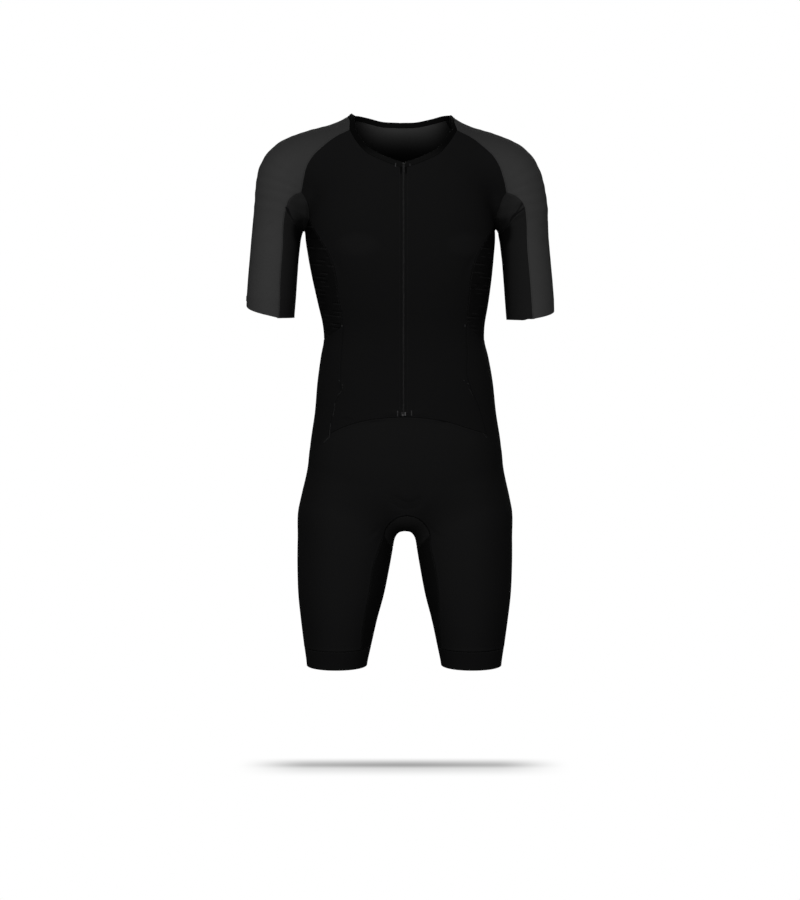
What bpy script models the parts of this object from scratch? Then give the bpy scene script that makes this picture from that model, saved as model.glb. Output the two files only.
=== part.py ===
"""Triathlon suit with short raglan sleeves and a front zip, in the shape it keeps on a figure.

Metres, +Z up, the front faces -Y. The origin is the middle of the neck at shoulder height.
The cloth lies on one smooth figure form: trunk, two legs and two sleeves blended together.
Seams are lines on that form; each cut piece is a grid between four seam lines, given a wall.
Side +1 is +X (the wearer's left), side -1 is -X (the wearer's right).
"""

import math

import bpy
import numpy as np
from mathutils import Matrix, Vector

# ---- driving sizes, metres ----
WALL = 0.0012  # knitted cloth, drawn at the least wall that still packs as a solid
BAND_WALL = 0.0018  # doubled cloth with its silicone print
BINDING_WALL = 0.0022  # folded tape over the neck edge
BINDING_WIDTH = 0.0090
SEAM_GAP = 0.0003
PIT_GAP = 0.0010  # the gussets turn sharply, so they are drawn in a little further
FRONT_MID = 0.0015  # middle line of the front, seen from the front
NECK_FRONT = -0.0935  # neck seam at the zip
WAIST_FRONT = -0.4890  # waist seam at the zip
WAIST_BACK = -0.5400
YOKE_BACK = -0.1050
LEG_SEAM = -0.8730  # seam of the leg band
LEG_HEM = -0.9050
SLEEVE_HEM = -0.3290  # at the middle of the arm
SLEEVE_PULL = 0.0060  # the +X sleeve is pulled this much further down
SLEEVE_RISE = 0.37  # the hem rises outwards by this much per metre
CROTCH = -0.6800
CROTCH_ROUND = 0.030
PIT_HEIGHTS = (0.02, 0.06, 0.15, 0.18, 0.20)  # depths below the origin at which sleeve and trunk
PIT_BLENDS = (0.034, 0.045, 0.030, 0.013, 0.006)  # blend into one another over these lengths
ARM_DEPTH = 1.16  # an arm is this much deeper than wide
SHOULDER_DROP = 0.0123  # the -X shoulder stands higher than the +X one, per metre across

CHAIN_HALF = 0.0021
CHAIN_PROUD = 0.0006
TAPE_HALF = 0.0120
TAPE_TOP = 0.0021  # depth of the tape's outer face under the cloth's outer face
TAPE_BACK = 0.0031
SLIDER_AT = -0.0905
SLIDER_LONG = 0.0066
SLIDER_HALF = 0.0027
SLIDER_THICK = 0.0022
PIN_HEIGHT = 0.0021  # pin's axis over the slider's face
PIN_RADIUS = 0.00045
EYE_RADIUS = 0.00080
TAB_LONG = 0.0125
TAB_HALF = 0.0017
TAB_THICK = 0.0010
TAB_LEAN = 22.0  # degrees in from the zip's line, so that the tip rests on the chain
BOX_HALF = 0.0040
BOX_LONG = 0.0070
BOX_THICK = 0.0022

# ---- how many grid steps each seam takes; seams that face each other across a piece match ----
N_NECK = 9  # neck seam from zip to raglan, and the front's waist
N_SLEEVE = 8  # neck or hem from the sleeve's front or back edge to its ridge
N_BACK = 7  # half of the back's width
N_RAGLAN = 10
N_YOKE = 5  # share of the back raglan that the yoke takes
N_EDGE = 2  # raglan's foot to side mesh, and raglan's foot to under-sleeve
N_MESH = 9
N_HIP = 8
N_UNDER = 8
N_ROUND = 6  # from front to back under the arm, at the side and between the legs
N_RISE = 7  # waist to crotch along the middle
N_ARCH = 4  # half of the crotch gusset's arc
N_THIGH = 9


def table(names: str, text: str) -> dict:
    """A table of numbers, one row a line, as arrays by column name."""
    rows = np.array([[float(v) for v in line.split()] for line in text.strip().splitlines()])
    return dict(zip(names.split(), rows.T))


# ---- the figure: level sections, metres ----
SWAY = table("height shift", """
 0.02  -0.0010
 -0.08 -0.0035
 -0.20 -0.0040
 -0.31  0.0005
 -0.40  0.0035
 -0.52  0.0050
 -0.70  0.0040
 -0.92  0.0025
""")
TURN = table("height degrees", """
 0.03 3.0
 -0.30 3.0
 -0.42 0.5
 -0.92 0.0
""")
TRUNK = table("height half_width centre front back square", """
 0.030  0.060  0.020 0.052 0.050 2.0
 0.000  0.074  0.014 0.058 0.056 2.0
 -0.030 0.098  0.006 0.066 0.072 2.1
 -0.060 0.122  0.002 0.078 0.088 2.2
 -0.100 0.140  0.000 0.094 0.099 2.35
 -0.150 0.150  0.000 0.108 0.106 2.5
 -0.205 0.1540 0.000 0.116 0.106 2.5
 -0.231 0.1512 0.000 0.117 0.103 2.45
 -0.271 0.1456 0.000 0.114 0.097 2.4
 -0.310 0.1387 0.000 0.108 0.090 2.35
 -0.349 0.1315 0.000 0.101 0.085 2.3
 -0.366 0.1307 0.000 0.099 0.084 2.3
 -0.395 0.1365 0.000 0.097 0.086 2.3
 -0.435 0.1430 0.000 0.097 0.094 2.3
 -0.487 0.1483 0.002 0.100 0.108 2.3
 -0.540 0.1563 0.006 0.104 0.114 2.3
 -0.592 0.1600 0.009 0.102 0.113 2.3
 -0.631 0.1560 0.010 0.094 0.103 2.3
 -0.660 0.1450 0.010 0.080 0.090 2.2
 -0.690 0.1250 0.010 0.060 0.070 2.1
""")
LEG = table("height out half_width centre front back square", """
 -0.520 0.0700 0.030  0.010 0.030 0.030 2.0
 -0.560 0.0770 0.055  0.010 0.055 0.060 2.0
 -0.600 0.0850 0.074  0.010 0.074 0.092 2.1
 -0.640 0.0920 0.082  0.010 0.083 0.097 2.2
 -0.697 0.0969 0.0795 0.008 0.086 0.093 2.2
 -0.750 0.1014 0.0750 0.005 0.083 0.083 2.2
 -0.789 0.1045 0.0703 0.003 0.079 0.078 2.2
 -0.828 0.1076 0.0630 0.001 0.073 0.072 2.15
 -0.868 0.1095 0.0560 0.000 0.065 0.066 2.1
 -0.907 0.1110 0.0495 0.000 0.058 0.060 2.1
 -0.940 0.1120 0.0480 0.000 0.056 0.058 2.1
""")
ARM = table("out fore height radius", """
 0.0400  0.012 -0.0520 0.0403
 0.1001  0.010 -0.0654 0.0451
 0.1461  0.007 -0.0826 0.0496
 0.1765  0.005 -0.1013 0.0510
 0.1910  0.003 -0.1394 0.0467
 0.2019  0.000 -0.2040 0.0400
 0.2105 -0.004 -0.3027 0.0400
 0.2119 -0.006 -0.3500 0.0380
""")
ARM_ASIDE = table("down shift", """
 0.09  0.0000
 0.15  0.0029
 0.24 -0.0004
 0.33 -0.0045
""")


def refined(rows: dict, count: int) -> dict:
    """A table with rows put in between its own by smooth curves, counted by row."""
    knots = np.stack(list(rows.values()), 1)
    at = np.linspace(0, len(knots) - 1, count * (len(knots) - 1) + 1)
    i = np.clip(at.astype(int), 0, len(knots) - 2)
    t = (at - i)[:, None]
    slopes = np.gradient(knots, axis=0)
    out = (
        knots[i] * (1 + 2 * t) * (1 - t) ** 2
        + slopes[i] * t * (1 - t) ** 2
        + knots[i + 1] * t * t * (3 - 2 * t)
        + slopes[i + 1] * t * t * (t - 1)
    )
    return dict(zip(rows, out.T))


ARM = refined(ARM, 3)


def along(rows: dict, name: str, height: np.ndarray) -> np.ndarray:
    """A column of a section table at any height: a smooth curve through its rows."""
    knots, values = rows["height"][::-1], rows[name][::-1]
    slopes = np.gradient(values, knots)
    i = np.clip(np.searchsorted(knots, height) - 1, 0, len(knots) - 2)
    h = knots[i + 1] - knots[i]
    t = np.clip((height - knots[i]) / h, 0.0, 1.0)
    return (
        values[i] * (1 + 2 * t) * (1 - t) ** 2
        + slopes[i] * h * t * (1 - t) ** 2
        + values[i + 1] * t * t * (3 - 2 * t)
        + slopes[i + 1] * h * t * t * (t - 1)
    )


def soft_min(a: np.ndarray, b: np.ndarray, blend: np.ndarray) -> np.ndarray:
    """The smaller of two distances, rounded where they are nearly equal."""
    near = np.maximum(blend - np.abs(a - b), 0.0) / blend
    return np.minimum(a, b) - near * near * blend / 4


def tube(x: np.ndarray, y: np.ndarray, z: np.ndarray, rows: dict) -> np.ndarray:
    """Distance to an upright tube whose level sections are squarish ovals."""
    dy = y - along(rows, "centre", z)
    depth = np.where(dy < 0, along(rows, "front", z), along(rows, "back", z))
    n = along(rows, "square", z)
    ratio = (np.abs(x) / along(rows, "half_width", z)) ** n + (np.abs(dy) / depth) ** n
    return np.hypot(x, dy) * (1 - 1 / (ratio + 1e-12) ** (1 / n))


def limb(x: np.ndarray, y: np.ndarray, z: np.ndarray, rows: dict) -> np.ndarray:
    """Distance to a bent tube: short straight lengths with changing radii."""
    ends = np.stack([rows["out"], rows["fore"], rows["height"]], 1)
    spots = np.stack([x, y, z], 1)
    nearest = None
    for a, b, ra, rb in zip(ends[:-1], ends[1:], rows["radius"][:-1], rows["radius"][1:]):
        t = np.clip((spots - a) @ (b - a) / ((b - a) @ (b - a)), 0, 1)
        off = (spots - a - t[:, None] * (b - a)) / np.array([1, ARM_DEPTH, 1])
        away = np.linalg.norm(off, axis=1) - (ra + t * (rb - ra))
        nearest = away if nearest is None else np.minimum(nearest, away)
    return nearest


def figure(points: np.ndarray) -> np.ndarray:
    """Distance of each point from the worn form, negative inside it."""
    turn = np.radians(np.interp(-points[:, 2], -TURN["height"], TURN["degrees"]))
    x0 = points[:, 0] - along(SWAY, "shift", points[:, 2])
    x = np.cos(turn) * x0 + np.sin(turn) * points[:, 1]
    y = np.cos(turn) * points[:, 1] - np.sin(turn) * x0
    z = points[:, 2] + np.clip((points[:, 2] + 0.42) / 0.10, 0, 1) * SHOULDER_DROP * x
    trunk = tube(x, y, z, TRUNK)
    trunk = -soft_min(-trunk, z - CROTCH, CROTCH_ROUND)
    leg = tube(np.abs(x) - along(LEG, "out", z), y, z, LEG)
    leg = -soft_min(-leg, -z - 0.53, CROTCH_ROUND)
    aside = np.abs(x - np.interp(-z, ARM_ASIDE["down"], ARM_ASIDE["shift"]))
    arm = limb(aside, y, z, ARM)
    body = soft_min(trunk, leg, np.full_like(z, 0.022))
    return soft_min(body, arm, np.interp(-z, PIT_HEIGHTS, PIT_BLENDS))


def outward(points: np.ndarray) -> tuple:
    """Unit outward directions of the form at these points, and how steep the distance is."""
    step = 2e-5
    sides = np.eye(3) * step
    rise = np.stack([figure(points + s) - figure(points - s) for s in sides], 1) / (2 * step)
    steep = np.linalg.norm(rise, axis=1, keepdims=True)
    return rise / steep, steep[:, 0]


def settle(points: np.ndarray, rounds: int = 7) -> np.ndarray:
    """The points moved onto the form, each along the form's own outward direction."""
    flat = np.array(points, float).reshape(-1, 3)
    for _ in range(rounds):
        way, steep = outward(flat)
        flat = flat - np.clip(figure(flat) / steep, -0.02, 0.02)[:, None] * way
    return flat.reshape(np.shape(points))


def sight(x: np.ndarray, z: np.ndarray, face: int) -> np.ndarray:
    """Points of the form met when looking along Y at (x, z): face -1 from the front, 1 the back."""
    x, z = np.broadcast_arrays(np.asarray(x, float), np.asarray(z, float))
    steps = np.linspace(0.20, 0.0, 81)
    away = [figure(np.stack([x, np.full_like(x, face * s), z], 1)) for s in steps]
    inside = np.array(away) < 0
    first = np.where(inside.any(0), inside.argmax(0), len(steps) - 1)
    far, near = steps[np.maximum(first - 1, 0)], steps[first]
    for _ in range(18):
        mid = (far + near) / 2
        within = figure(np.stack([x, face * mid, z], 1)) < 0
        near, far = np.where(within, mid, near), np.where(within, far, mid)
    return settle(np.stack([x, face * near, z], 1), 3)


def spaced(line: np.ndarray, count: int) -> np.ndarray:
    """The line resampled to count even steps."""
    run = np.concatenate([[0], np.cumsum(np.linalg.norm(np.diff(line, axis=0), axis=1))])
    at = np.linspace(0, run[-1], count + 1)
    return np.stack([np.interp(at, run, line[:, k]) for k in range(3)], 1)


def smooth_line(knots: np.ndarray, count: int) -> np.ndarray:
    """A seam through these knots, laid on the form in even steps with its ends kept."""
    run = np.concatenate([[0], np.cumsum(np.linalg.norm(np.diff(knots, axis=0), axis=1))])
    at = np.linspace(0, run[-1], 10 * count + 1)
    i = np.clip(np.searchsorted(run, at) - 1, 0, len(run) - 2)
    h = (run[i + 1] - run[i])[:, None]
    t = ((at - run[i]) / h[:, 0])[:, None]
    slopes = np.gradient(knots, run, axis=0)
    line = (
        knots[i] * (1 + 2 * t) * (1 - t) ** 2
        + slopes[i] * h * t * (1 - t) ** 2
        + knots[i + 1] * t * t * (3 - 2 * t)
        + slopes[i + 1] * h * t * t * (t - 1)
    )
    line = settle(spaced(settle(line), count))
    line[0], line[-1] = knots[0], knots[-1]
    return line


# ---- seam lines, seen from the front or the back: out from the middle line, height, and how
# far the pair of them stands to +X ----
SEAMS = "out height shift"
RAGLAN_FRONT = table(SEAMS, """
 0.0865 -0.0310 0.0
 0.1090 -0.0425 0.0
 0.1300 -0.0590 0.0
 0.1445 -0.0735 0.0
 0.1540 -0.0895 0.0
 0.1590 -0.1055 0.0005
 0.1630 -0.1240 0.001
 0.1645 -0.1310 0.001
""")
CAP_FRONT = table(SEAMS, """
 0.1645 -0.1310 0.001
 0.1780 -0.1370 0.002
 0.1860 -0.1440 0.003
 0.1915 -0.1550 0.004
""")
UNDER_FRONT = table(SEAMS, """
 0.1915 -0.1550 0.004
 0.1940 -0.1700 0.0035
 0.1965 -0.2180 0.003
 0.2010 -0.2760 0.0035
 0.2040 -0.3270 0.0045
""")
EDGE_FRONT = table(SEAMS, """
 0.1645 -0.1310 0.001
 0.1585 -0.1400 0.001
 0.1550 -0.1500 0.001
 0.1530 -0.1610 0.001
 0.1530 -0.1725 0.001
""")
MESH_FRONT = table(SEAMS, """
 0.1530 -0.1725 0.001
 0.1305 -0.2090 0.0
 0.1150 -0.2370 0.0
 0.1075 -0.2650 0.0
 0.1040 -0.2970 0.0005
 0.1005 -0.3250 0.0015
 0.1000 -0.3450 0.0025
""")
HIP_FRONT = table(SEAMS, """
 0.1000 -0.3450 0.0025
 0.1015 -0.3850 0.0015
 0.1025 -0.4290 0.0010
 0.1055 -0.4480 0.0045
 0.1150 -0.4690 0.0045
 0.1245 -0.5040 0.0060
 0.1285 -0.5200 0.0070
""")
WAIST_LINE = table(SEAMS, """
 0.0000 -0.4890 0.0
 0.0305 -0.4910 0.0
 0.0695 -0.4975 0.0
 0.1005 -0.5080 0.001
 0.1285 -0.5200 0.0070
""")
ARCH_FRONT = table(SEAMS, """
 0.0000 -0.6490 0.0055
 0.0135 -0.6520 0.0055
 0.0255 -0.6605 0.0055
 0.0335 -0.6710 0.0055
 0.0375 -0.6830 0.0060
""")
THIGH_FRONT = table(SEAMS, """
 0.0375 -0.6830 0.0060
 0.0405 -0.6950 0.0035
 0.0505 -0.7330 0.0010
 0.0555 -0.7670 0.0010
 0.0595 -0.8000 -0.0010
 0.0630 -0.8350 -0.0035
 0.0665 -0.8730 -0.0030
""")
RAGLAN_BACK = table(SEAMS, """
 0.0785 -0.0100 0.0
 0.0990 -0.0380 0.0
 0.1190 -0.0600 0.0
 0.1370 -0.0860 0.0
 0.1500 -0.1130 0.0
 0.1580 -0.1340 0.0
""")
CAP_BACK = table(SEAMS, """
 0.1580 -0.1340 0.0
 0.1690 -0.1400 0.0
 0.1780 -0.1480 0.0
 0.1840 -0.1580 0.0
""")
UNDER_BACK = table(SEAMS, """
 0.1840 -0.1580 0.0
 0.1875 -0.1900 0.0
 0.1915 -0.2400 0.0
 0.1965 -0.2900 0.0
 0.1990 -0.3280 0.0
""")
EDGE_BACK = table(SEAMS, """
 0.1580 -0.1340 0.0
 0.1530 -0.1460 0.0
 0.1500 -0.1580 0.0
 0.1490 -0.1725 0.0
""")
MESH_BACK = table(SEAMS, """
 0.1490 -0.1725 0.0
 0.1300 -0.2090 0.0
 0.1140 -0.2370 0.0
 0.1060 -0.2650 0.0
 0.1020 -0.2970 0.0
 0.0990 -0.3250 0.0
 0.0980 -0.3490 0.0
""")
HIP_BACK = table(SEAMS, """
 0.0980 -0.3490 0.0
 0.1000 -0.3900 0.0
 0.1060 -0.4300 0.0
 0.1150 -0.4700 0.0
 0.1230 -0.5100 0.0
 0.1270 -0.5490 0.0
""")
ARCH_BACK = table(SEAMS, """
 0.0000 -0.6560 0.0
 0.0130 -0.6590 0.0
 0.0250 -0.6680 0.0
 0.0330 -0.6790 0.0
 0.0365 -0.6910 0.0
""")
THIGH_BACK = table(SEAMS, """
 0.0365 -0.6910 0.0
 0.0470 -0.7300 0.0
 0.0545 -0.7800 0.0
 0.0600 -0.8300 0.0
 0.0665 -0.8730 0.0
""")
# ---- seam lines that run round a side, as guides in space: out, fore and height ----
GUIDES = "out fore height"
NECK_EDGE = table(GUIDES, """
 0.0200 -0.088 -0.0880
 0.0390 -0.084 -0.0795
 0.0580 -0.077 -0.0690
 0.0750 -0.063 -0.0500
""")
SHOULDER_EDGE = table(GUIDES, """
 0.0850 -0.020 -0.0150
 0.0860  0.002 -0.0110
 0.0838  0.022 -0.0115
""")
RIDGE = table(GUIDES, """
 0.0860  0.002 -0.0110
 0.1100  0.006 -0.0280
 0.1350  0.006 -0.0380
 0.1650  0.005 -0.0500
 0.1950  0.004 -0.0720
 0.2150  0.003 -0.1100
 0.2290  0.001 -0.1650
 0.2400 -0.001 -0.2400
 0.2470 -0.004 -0.3200
""")
TRUNK_PIT = table(GUIDES, """
 0.1520 -0.030 -0.1850
 0.1515  0.000 -0.1920
 0.1510  0.030 -0.1860
""")
ARM_PIT = table(GUIDES, """
 0.1800 -0.052 -0.1680
 0.1720 -0.033 -0.1820
 0.1690  0.000 -0.1920
 0.1710  0.033 -0.1840
 0.1780  0.050 -0.1700
""")
MESH_FOOT = table(GUIDES, """
 0.1130 -0.058 -0.3555
 0.1250 -0.033 -0.3645
 0.1310  0.000 -0.3690
 0.1230  0.035 -0.3640
""")
WAIST_SIDE = table(GUIDES, """
 0.1380 -0.050 -0.5330
 0.1490 -0.026 -0.5450
 0.1540  0.003 -0.5500
""")
WAIST_HIP = table(GUIDES, """
 0.1520  0.035 -0.5510
 0.1430  0.062 -0.5500
""")
LEG_SIDE = table(GUIDES, """
 0.1700  0.006 -0.6100
 0.1770  0.006 -0.6800
 0.1765  0.004 -0.7500
 0.1715  0.002 -0.8200
 0.1655  0.000 -0.8730
""")
CROTCH_SIDE = table(GUIDES, """
 0.0320 -0.030 -0.7010
 0.0280  0.000 -0.7080
 0.0310  0.032 -0.7050
""")


def mid_x(height: np.ndarray, face: int) -> np.ndarray:
    """Where the middle line stands, seen from the front (-1) or the back (1)."""
    if face < 0:
        return np.full_like(height, FRONT_MID)
    return 2 * along(SWAY, "shift", height) - FRONT_MID


def seen(rows: dict, side: int, face: int) -> np.ndarray:
    """A seam table's rows as points on the form's front or back."""
    x = mid_x(rows["height"], face) + rows["shift"] + side * rows["out"]
    return sight(x, rows["height"], face)


def guided(rows: dict, side: int) -> np.ndarray:
    """A guide table's rows as points on the form, about its own middle."""
    turn = np.radians(np.interp(-rows["height"], -TURN["height"], TURN["degrees"]))
    out = side * rows["out"]
    x = along(SWAY, "shift", rows["height"]) + np.cos(turn) * out - np.sin(turn) * rows["fore"]
    y = np.cos(turn) * rows["fore"] + np.sin(turn) * out
    drop = np.clip((rows["height"] + 0.42) / 0.10, 0, 1) * SHOULDER_DROP * out
    return settle(np.stack([x, y, rows["height"] - drop], 1))


def arc(start: np.ndarray, end: np.ndarray, middle: tuple, count: int) -> np.ndarray:
    """An even line round an upright axis from one point to another, by the shorter way."""
    a, b = start[:2] - middle, end[:2] - middle
    first = math.atan2(a[1], a[0])
    swing = (math.atan2(b[1], b[0]) - first + math.pi) % (2 * math.pi) - math.pi
    t = np.linspace(0, 1, 6 * count + 1)
    reach = np.linalg.norm(a) * (1 - t) + np.linalg.norm(b) * t
    turn = first + swing * t
    flat = np.stack([middle[0] + reach * np.cos(turn), middle[1] + reach * np.sin(turn)], 1)
    line = np.column_stack([flat, start[2] * (1 - t) + end[2] * t])
    line[1:-1] = settle(line[1:-1])
    line[1:-1, 2] = (start[2] * (1 - t) + end[2] * t)[1:-1]
    line = spaced(line, count)
    line[1:-1] = settle(line[1:-1], 3)
    return line


def join(*lines: np.ndarray) -> np.ndarray:
    """Lines end to end as one, each shared end once."""
    return np.concatenate([lines[0]] + [line[1:] for line in lines[1:]])


class Seams:
    """Every seam line of one side of the suit, on the form."""

    def __init__(self, side: int):
        def front(rows: dict) -> np.ndarray:
            return seen(rows, side, -1)

        def back(rows: dict) -> np.ndarray:
            return seen(rows, side, 1)

        def round_by(rows: dict) -> np.ndarray:
            return guided(rows, side)

        zip_x = FRONT_MID + side * (CHAIN_HALF + SEAM_GAP / 2)
        heights = np.linspace(NECK_FRONT, WAIST_FRONT, N_RAGLAN + N_EDGE + N_MESH + N_HIP + 1)
        self.zip = sight(np.full_like(heights, zip_x), heights, -1)
        self.raglan = smooth_line(front(RAGLAN_FRONT), N_RAGLAN)
        self.cap = smooth_line(front(CAP_FRONT), N_EDGE)
        self.under = smooth_line(self.hemmed(front(UNDER_FRONT), side), N_UNDER)
        self.edge = smooth_line(front(EDGE_FRONT), N_EDGE)
        self.mesh = smooth_line(front(MESH_FRONT), N_MESH)
        self.hip = smooth_line(front(HIP_FRONT), N_HIP)
        waist = front(WAIST_LINE)
        self.waist = smooth_line(waist, N_NECK)
        self.waist_cut = smooth_line(np.vstack([self.zip[-1:], waist[1:]]), N_NECK)
        self.arch = smooth_line(front(ARCH_FRONT), N_ARCH)
        self.thigh = smooth_line(front(THIGH_FRONT), N_THIGH)
        self.raglan_back = smooth_line(back(RAGLAN_BACK), N_RAGLAN)
        self.cap_back = smooth_line(back(CAP_BACK), N_EDGE)
        self.under_back = smooth_line(self.hemmed(back(UNDER_BACK), side), N_UNDER)
        self.edge_back = smooth_line(back(EDGE_BACK), N_EDGE)
        self.mesh_back = smooth_line(back(MESH_BACK), N_MESH)
        self.hip_back = smooth_line(back(HIP_BACK), N_HIP)
        self.arch_back = smooth_line(back(ARCH_BACK), N_ARCH)
        self.thigh_back = smooth_line(back(THIGH_BACK), N_THIGH)
        neck = round_by(NECK_EDGE)
        shoulder = round_by(SHOULDER_EDGE)
        ridge = round_by(RIDGE)
        ridge[-1, 2] = self.hem_height(ridge[-1, 0])
        ridge[0] = shoulder[1]
        self.neck = smooth_line(np.vstack([self.zip[:1], neck, self.raglan[:1]]), N_NECK)
        self.neck_fore = smooth_line(np.vstack([self.raglan[:1], shoulder[:2]]), N_SLEEVE)
        self.neck_aft = smooth_line(np.vstack([shoulder[1:], self.raglan_back[:1]]), N_SLEEVE)
        self.ridge = smooth_line(ridge, N_RAGLAN + N_EDGE + N_UNDER)
        self.pit = smooth_line(
            np.vstack([self.edge[-1:], round_by(TRUNK_PIT), self.edge_back[-1:]]), N_ROUND
        )
        self.arm_pit = smooth_line(
            np.vstack([self.cap[-1:], round_by(ARM_PIT), self.cap_back[-1:]]), N_ROUND
        )
        self.mesh_foot = smooth_line(
            np.vstack([self.mesh[-1:], round_by(MESH_FOOT), self.mesh_back[-1:]]), N_ROUND
        )
        side_waist = round_by(WAIST_SIDE)
        self.waist_fore = smooth_line(np.vstack([self.hip[-1:], side_waist]), N_ROUND // 2)
        self.waist_aft = smooth_line(
            np.vstack([side_waist[-1:], round_by(WAIST_HIP), self.hip_back[-1:]]), N_ROUND // 2
        )
        leg_side = round_by(LEG_SIDE)
        leg_side[-1, 2] = LEG_SEAM
        rows = N_RISE + N_ARCH + N_THIGH
        self.leg_side = smooth_line(np.vstack([side_waist[-1:], leg_side]), rows)
        self.crotch = smooth_line(
            np.vstack([self.arch[-1:], round_by(CROTCH_SIDE), self.arch_back[-1:]]), N_ROUND
        )
        arm_x = float(along(SWAY, "shift", np.array([-0.33]))[0]) - 0.0045 + side * 0.2110
        arm = (arm_x, side * 0.0105 - 0.005)
        self.hem_fore = arc(self.under[-1], self.ridge[-1], arm, N_SLEEVE)
        self.hem_aft = arc(self.ridge[-1], self.under_back[-1], arm, N_SLEEVE)
        self.hem_under = arc(self.under[-1], self.under_back[-1], arm, N_ROUND)
        leg_x = float(along(SWAY, "shift", np.array([LEG_SEAM]))[0]) + side * 0.1095
        leg = (leg_x, 0.0)
        end, end_back, outer = self.thigh[-1], self.thigh_back[-1], self.leg_side[-1]
        self.band_fore = arc(end, outer, leg, N_NECK + N_ROUND // 2)
        self.band_aft = arc(outer, end_back, leg, N_BACK + N_ROUND // 2)
        self.band_inner = arc(end, end_back, leg, N_ROUND)
        middle = np.linspace(WAIST_FRONT, ARCH_FRONT["height"][0], N_RISE + 1)
        lean = np.linspace(0.0, ARCH_FRONT["shift"][0], N_RISE + 1)
        self.middle = sight(FRONT_MID + lean, middle, -1)
        middle = np.linspace(WAIST_BACK, ARCH_BACK["height"][0], N_RISE + 1)
        self.middle_back = sight(mid_x(middle, 1), middle, 1)
        self.middle[-1], self.middle_back[-1] = self.arch[0], self.arch_back[0]
        self.middle[0] = self.waist[0]
        x = np.array([0.045, 0.090])
        z = np.array([WAIST_BACK - 0.001, WAIST_BACK - 0.004])
        hollow = sight(mid_x(z, 1) + side * x, z, 1)
        self.waist_back = smooth_line(
            np.vstack([self.middle_back[:1], hollow, self.hip_back[-1:]]), N_BACK
        )
        top = sight(mid_x(np.array([YOKE_BACK]), 1), np.array([YOKE_BACK]), 1)
        z = np.array([YOKE_BACK + 0.001, YOKE_BACK + 0.008])
        yoke = sight(mid_x(z, 1) + side * x, z, 1)
        self.yoke = smooth_line(np.vstack([top, yoke, self.raglan_back[N_YOKE : N_YOKE + 1]]), N_BACK)
        nape = np.array([[mid_x(np.zeros(1), 1)[0], 0.077, -0.0205]])
        nape = np.vstack([nape, guided(table(GUIDES, "0.030 0.074 -0.0190\n0.058 0.060 -0.0136"), side)])
        nape[:1] = settle(nape[:1])
        self.nape = smooth_line(np.vstack([nape, self.raglan_back[:1]]), N_BACK)

    @staticmethod
    def hem_height(x: float) -> float:
        """Height of the sleeve's hem at this distance out."""
        return SLEEVE_HEM - SLEEVE_PULL * (x > 0) + SLEEVE_RISE * (abs(x) - 0.208)

    def hemmed(self, line: np.ndarray, side: int) -> np.ndarray:
        """A seam whose last point stands on the sleeve's hem."""
        line[-1, 2] = self.hem_height(line[-1, 0])
        return line


def patch(top: np.ndarray, foot: np.ndarray, first: np.ndarray, last: np.ndarray) -> np.ndarray:
    """A grid between four lines on the form: top and foot run across, first and last run down."""
    v = np.linspace(0, 1, len(first))[:, None, None]
    u = np.linspace(0, 1, len(top))[None, :, None]
    corners = (
        (1 - v) * ((1 - u) * top[0] + u * top[-1]) + v * ((1 - u) * foot[0] + u * foot[-1])
    )
    grid = (1 - v) * top[None] + v * foot[None] + (1 - u) * first[:, None] + u * last[:, None]
    grid = grid - corners
    grid[1:-1, 1:-1] = settle(grid[1:-1, 1:-1])
    for _ in range(12):
        inner = (grid[:-2, 1:-1] + grid[2:, 1:-1] + grid[1:-1, :-2] + grid[1:-1, 2:]) / 4
        grid[1:-1, 1:-1] = settle((inner + grid[1:-1, 1:-1]) / 2, 2)
    grid[0], grid[-1], grid[:, 0], grid[:, -1] = top, foot, first, last
    return grid


def quads_of(grid: np.ndarray, ring: bool = False) -> np.ndarray:
    """Corner numbers of a grid's quads, facing out."""
    rows, cols = grid.shape[:2]
    at = np.arange(rows * cols).reshape(rows, cols)
    if ring:
        at = np.column_stack([at, at[:, 0]])
    quads = np.stack([at[:-1, :-1], at[1:, :-1], at[1:, 1:], at[:-1, 1:]], -1).reshape(-1, 4)
    flat = grid.reshape(-1, 3)
    a, b, c, d = (flat[quads[:, k]] for k in range(4))
    faces = np.cross(c - a, d - b)
    way, _ = outward((a + b + c + d) / 4)
    return quads if (faces * way).sum() > 0 else quads[:, ::-1]


def welded(grids: list, ring: bool = False) -> tuple:
    """Several grids as one sheet: points that coincide made one."""
    points = np.concatenate([grid.reshape(-1, 3) for grid in grids])
    starts = np.cumsum([0] + [grid.shape[0] * grid.shape[1] for grid in grids])
    quads = np.concatenate([quads_of(g, ring) + s for g, s in zip(grids, starts)])
    _, first, index = np.unique(
        np.round(points, 6), axis=0, return_index=True, return_inverse=True
    )
    return points[first], index.reshape(-1)[quads]


def rim_of(quads: np.ndarray) -> np.ndarray:
    """The sheet's border as directed edges, the sheet on their left."""
    ends = np.concatenate([quads[:, [k, (k + 1) % 4]] for k in range(4)])
    forward = {(int(a), int(b)) for a, b in ends}
    return np.array(sorted(e for e in forward if (e[1], e[0]) not in forward))


def inset(points: np.ndarray, quads: np.ndarray, gap: float) -> np.ndarray:
    """The sheet with its border drawn in by half the gap between two sewn pieces."""
    rim = rim_of(quads)
    way, _ = outward(points)
    run = points[rim[:, 1]] - points[rim[:, 0]]
    run /= np.linalg.norm(run, axis=1, keepdims=True)
    total = np.zeros_like(points)
    for end in (0, 1):
        inner = np.cross(way[rim[:, end]], run)
        inner /= np.linalg.norm(inner, axis=1, keepdims=True)
        np.add.at(total, rim[:, end], inner)
    share = np.ones(len(points))
    lengths = (total**2).sum(1)
    on_rim = lengths > 0
    share[on_rim] = 2 / np.maximum(lengths[on_rim], 1.0)
    return points + total * (share * gap / 2)[:, None]


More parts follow.
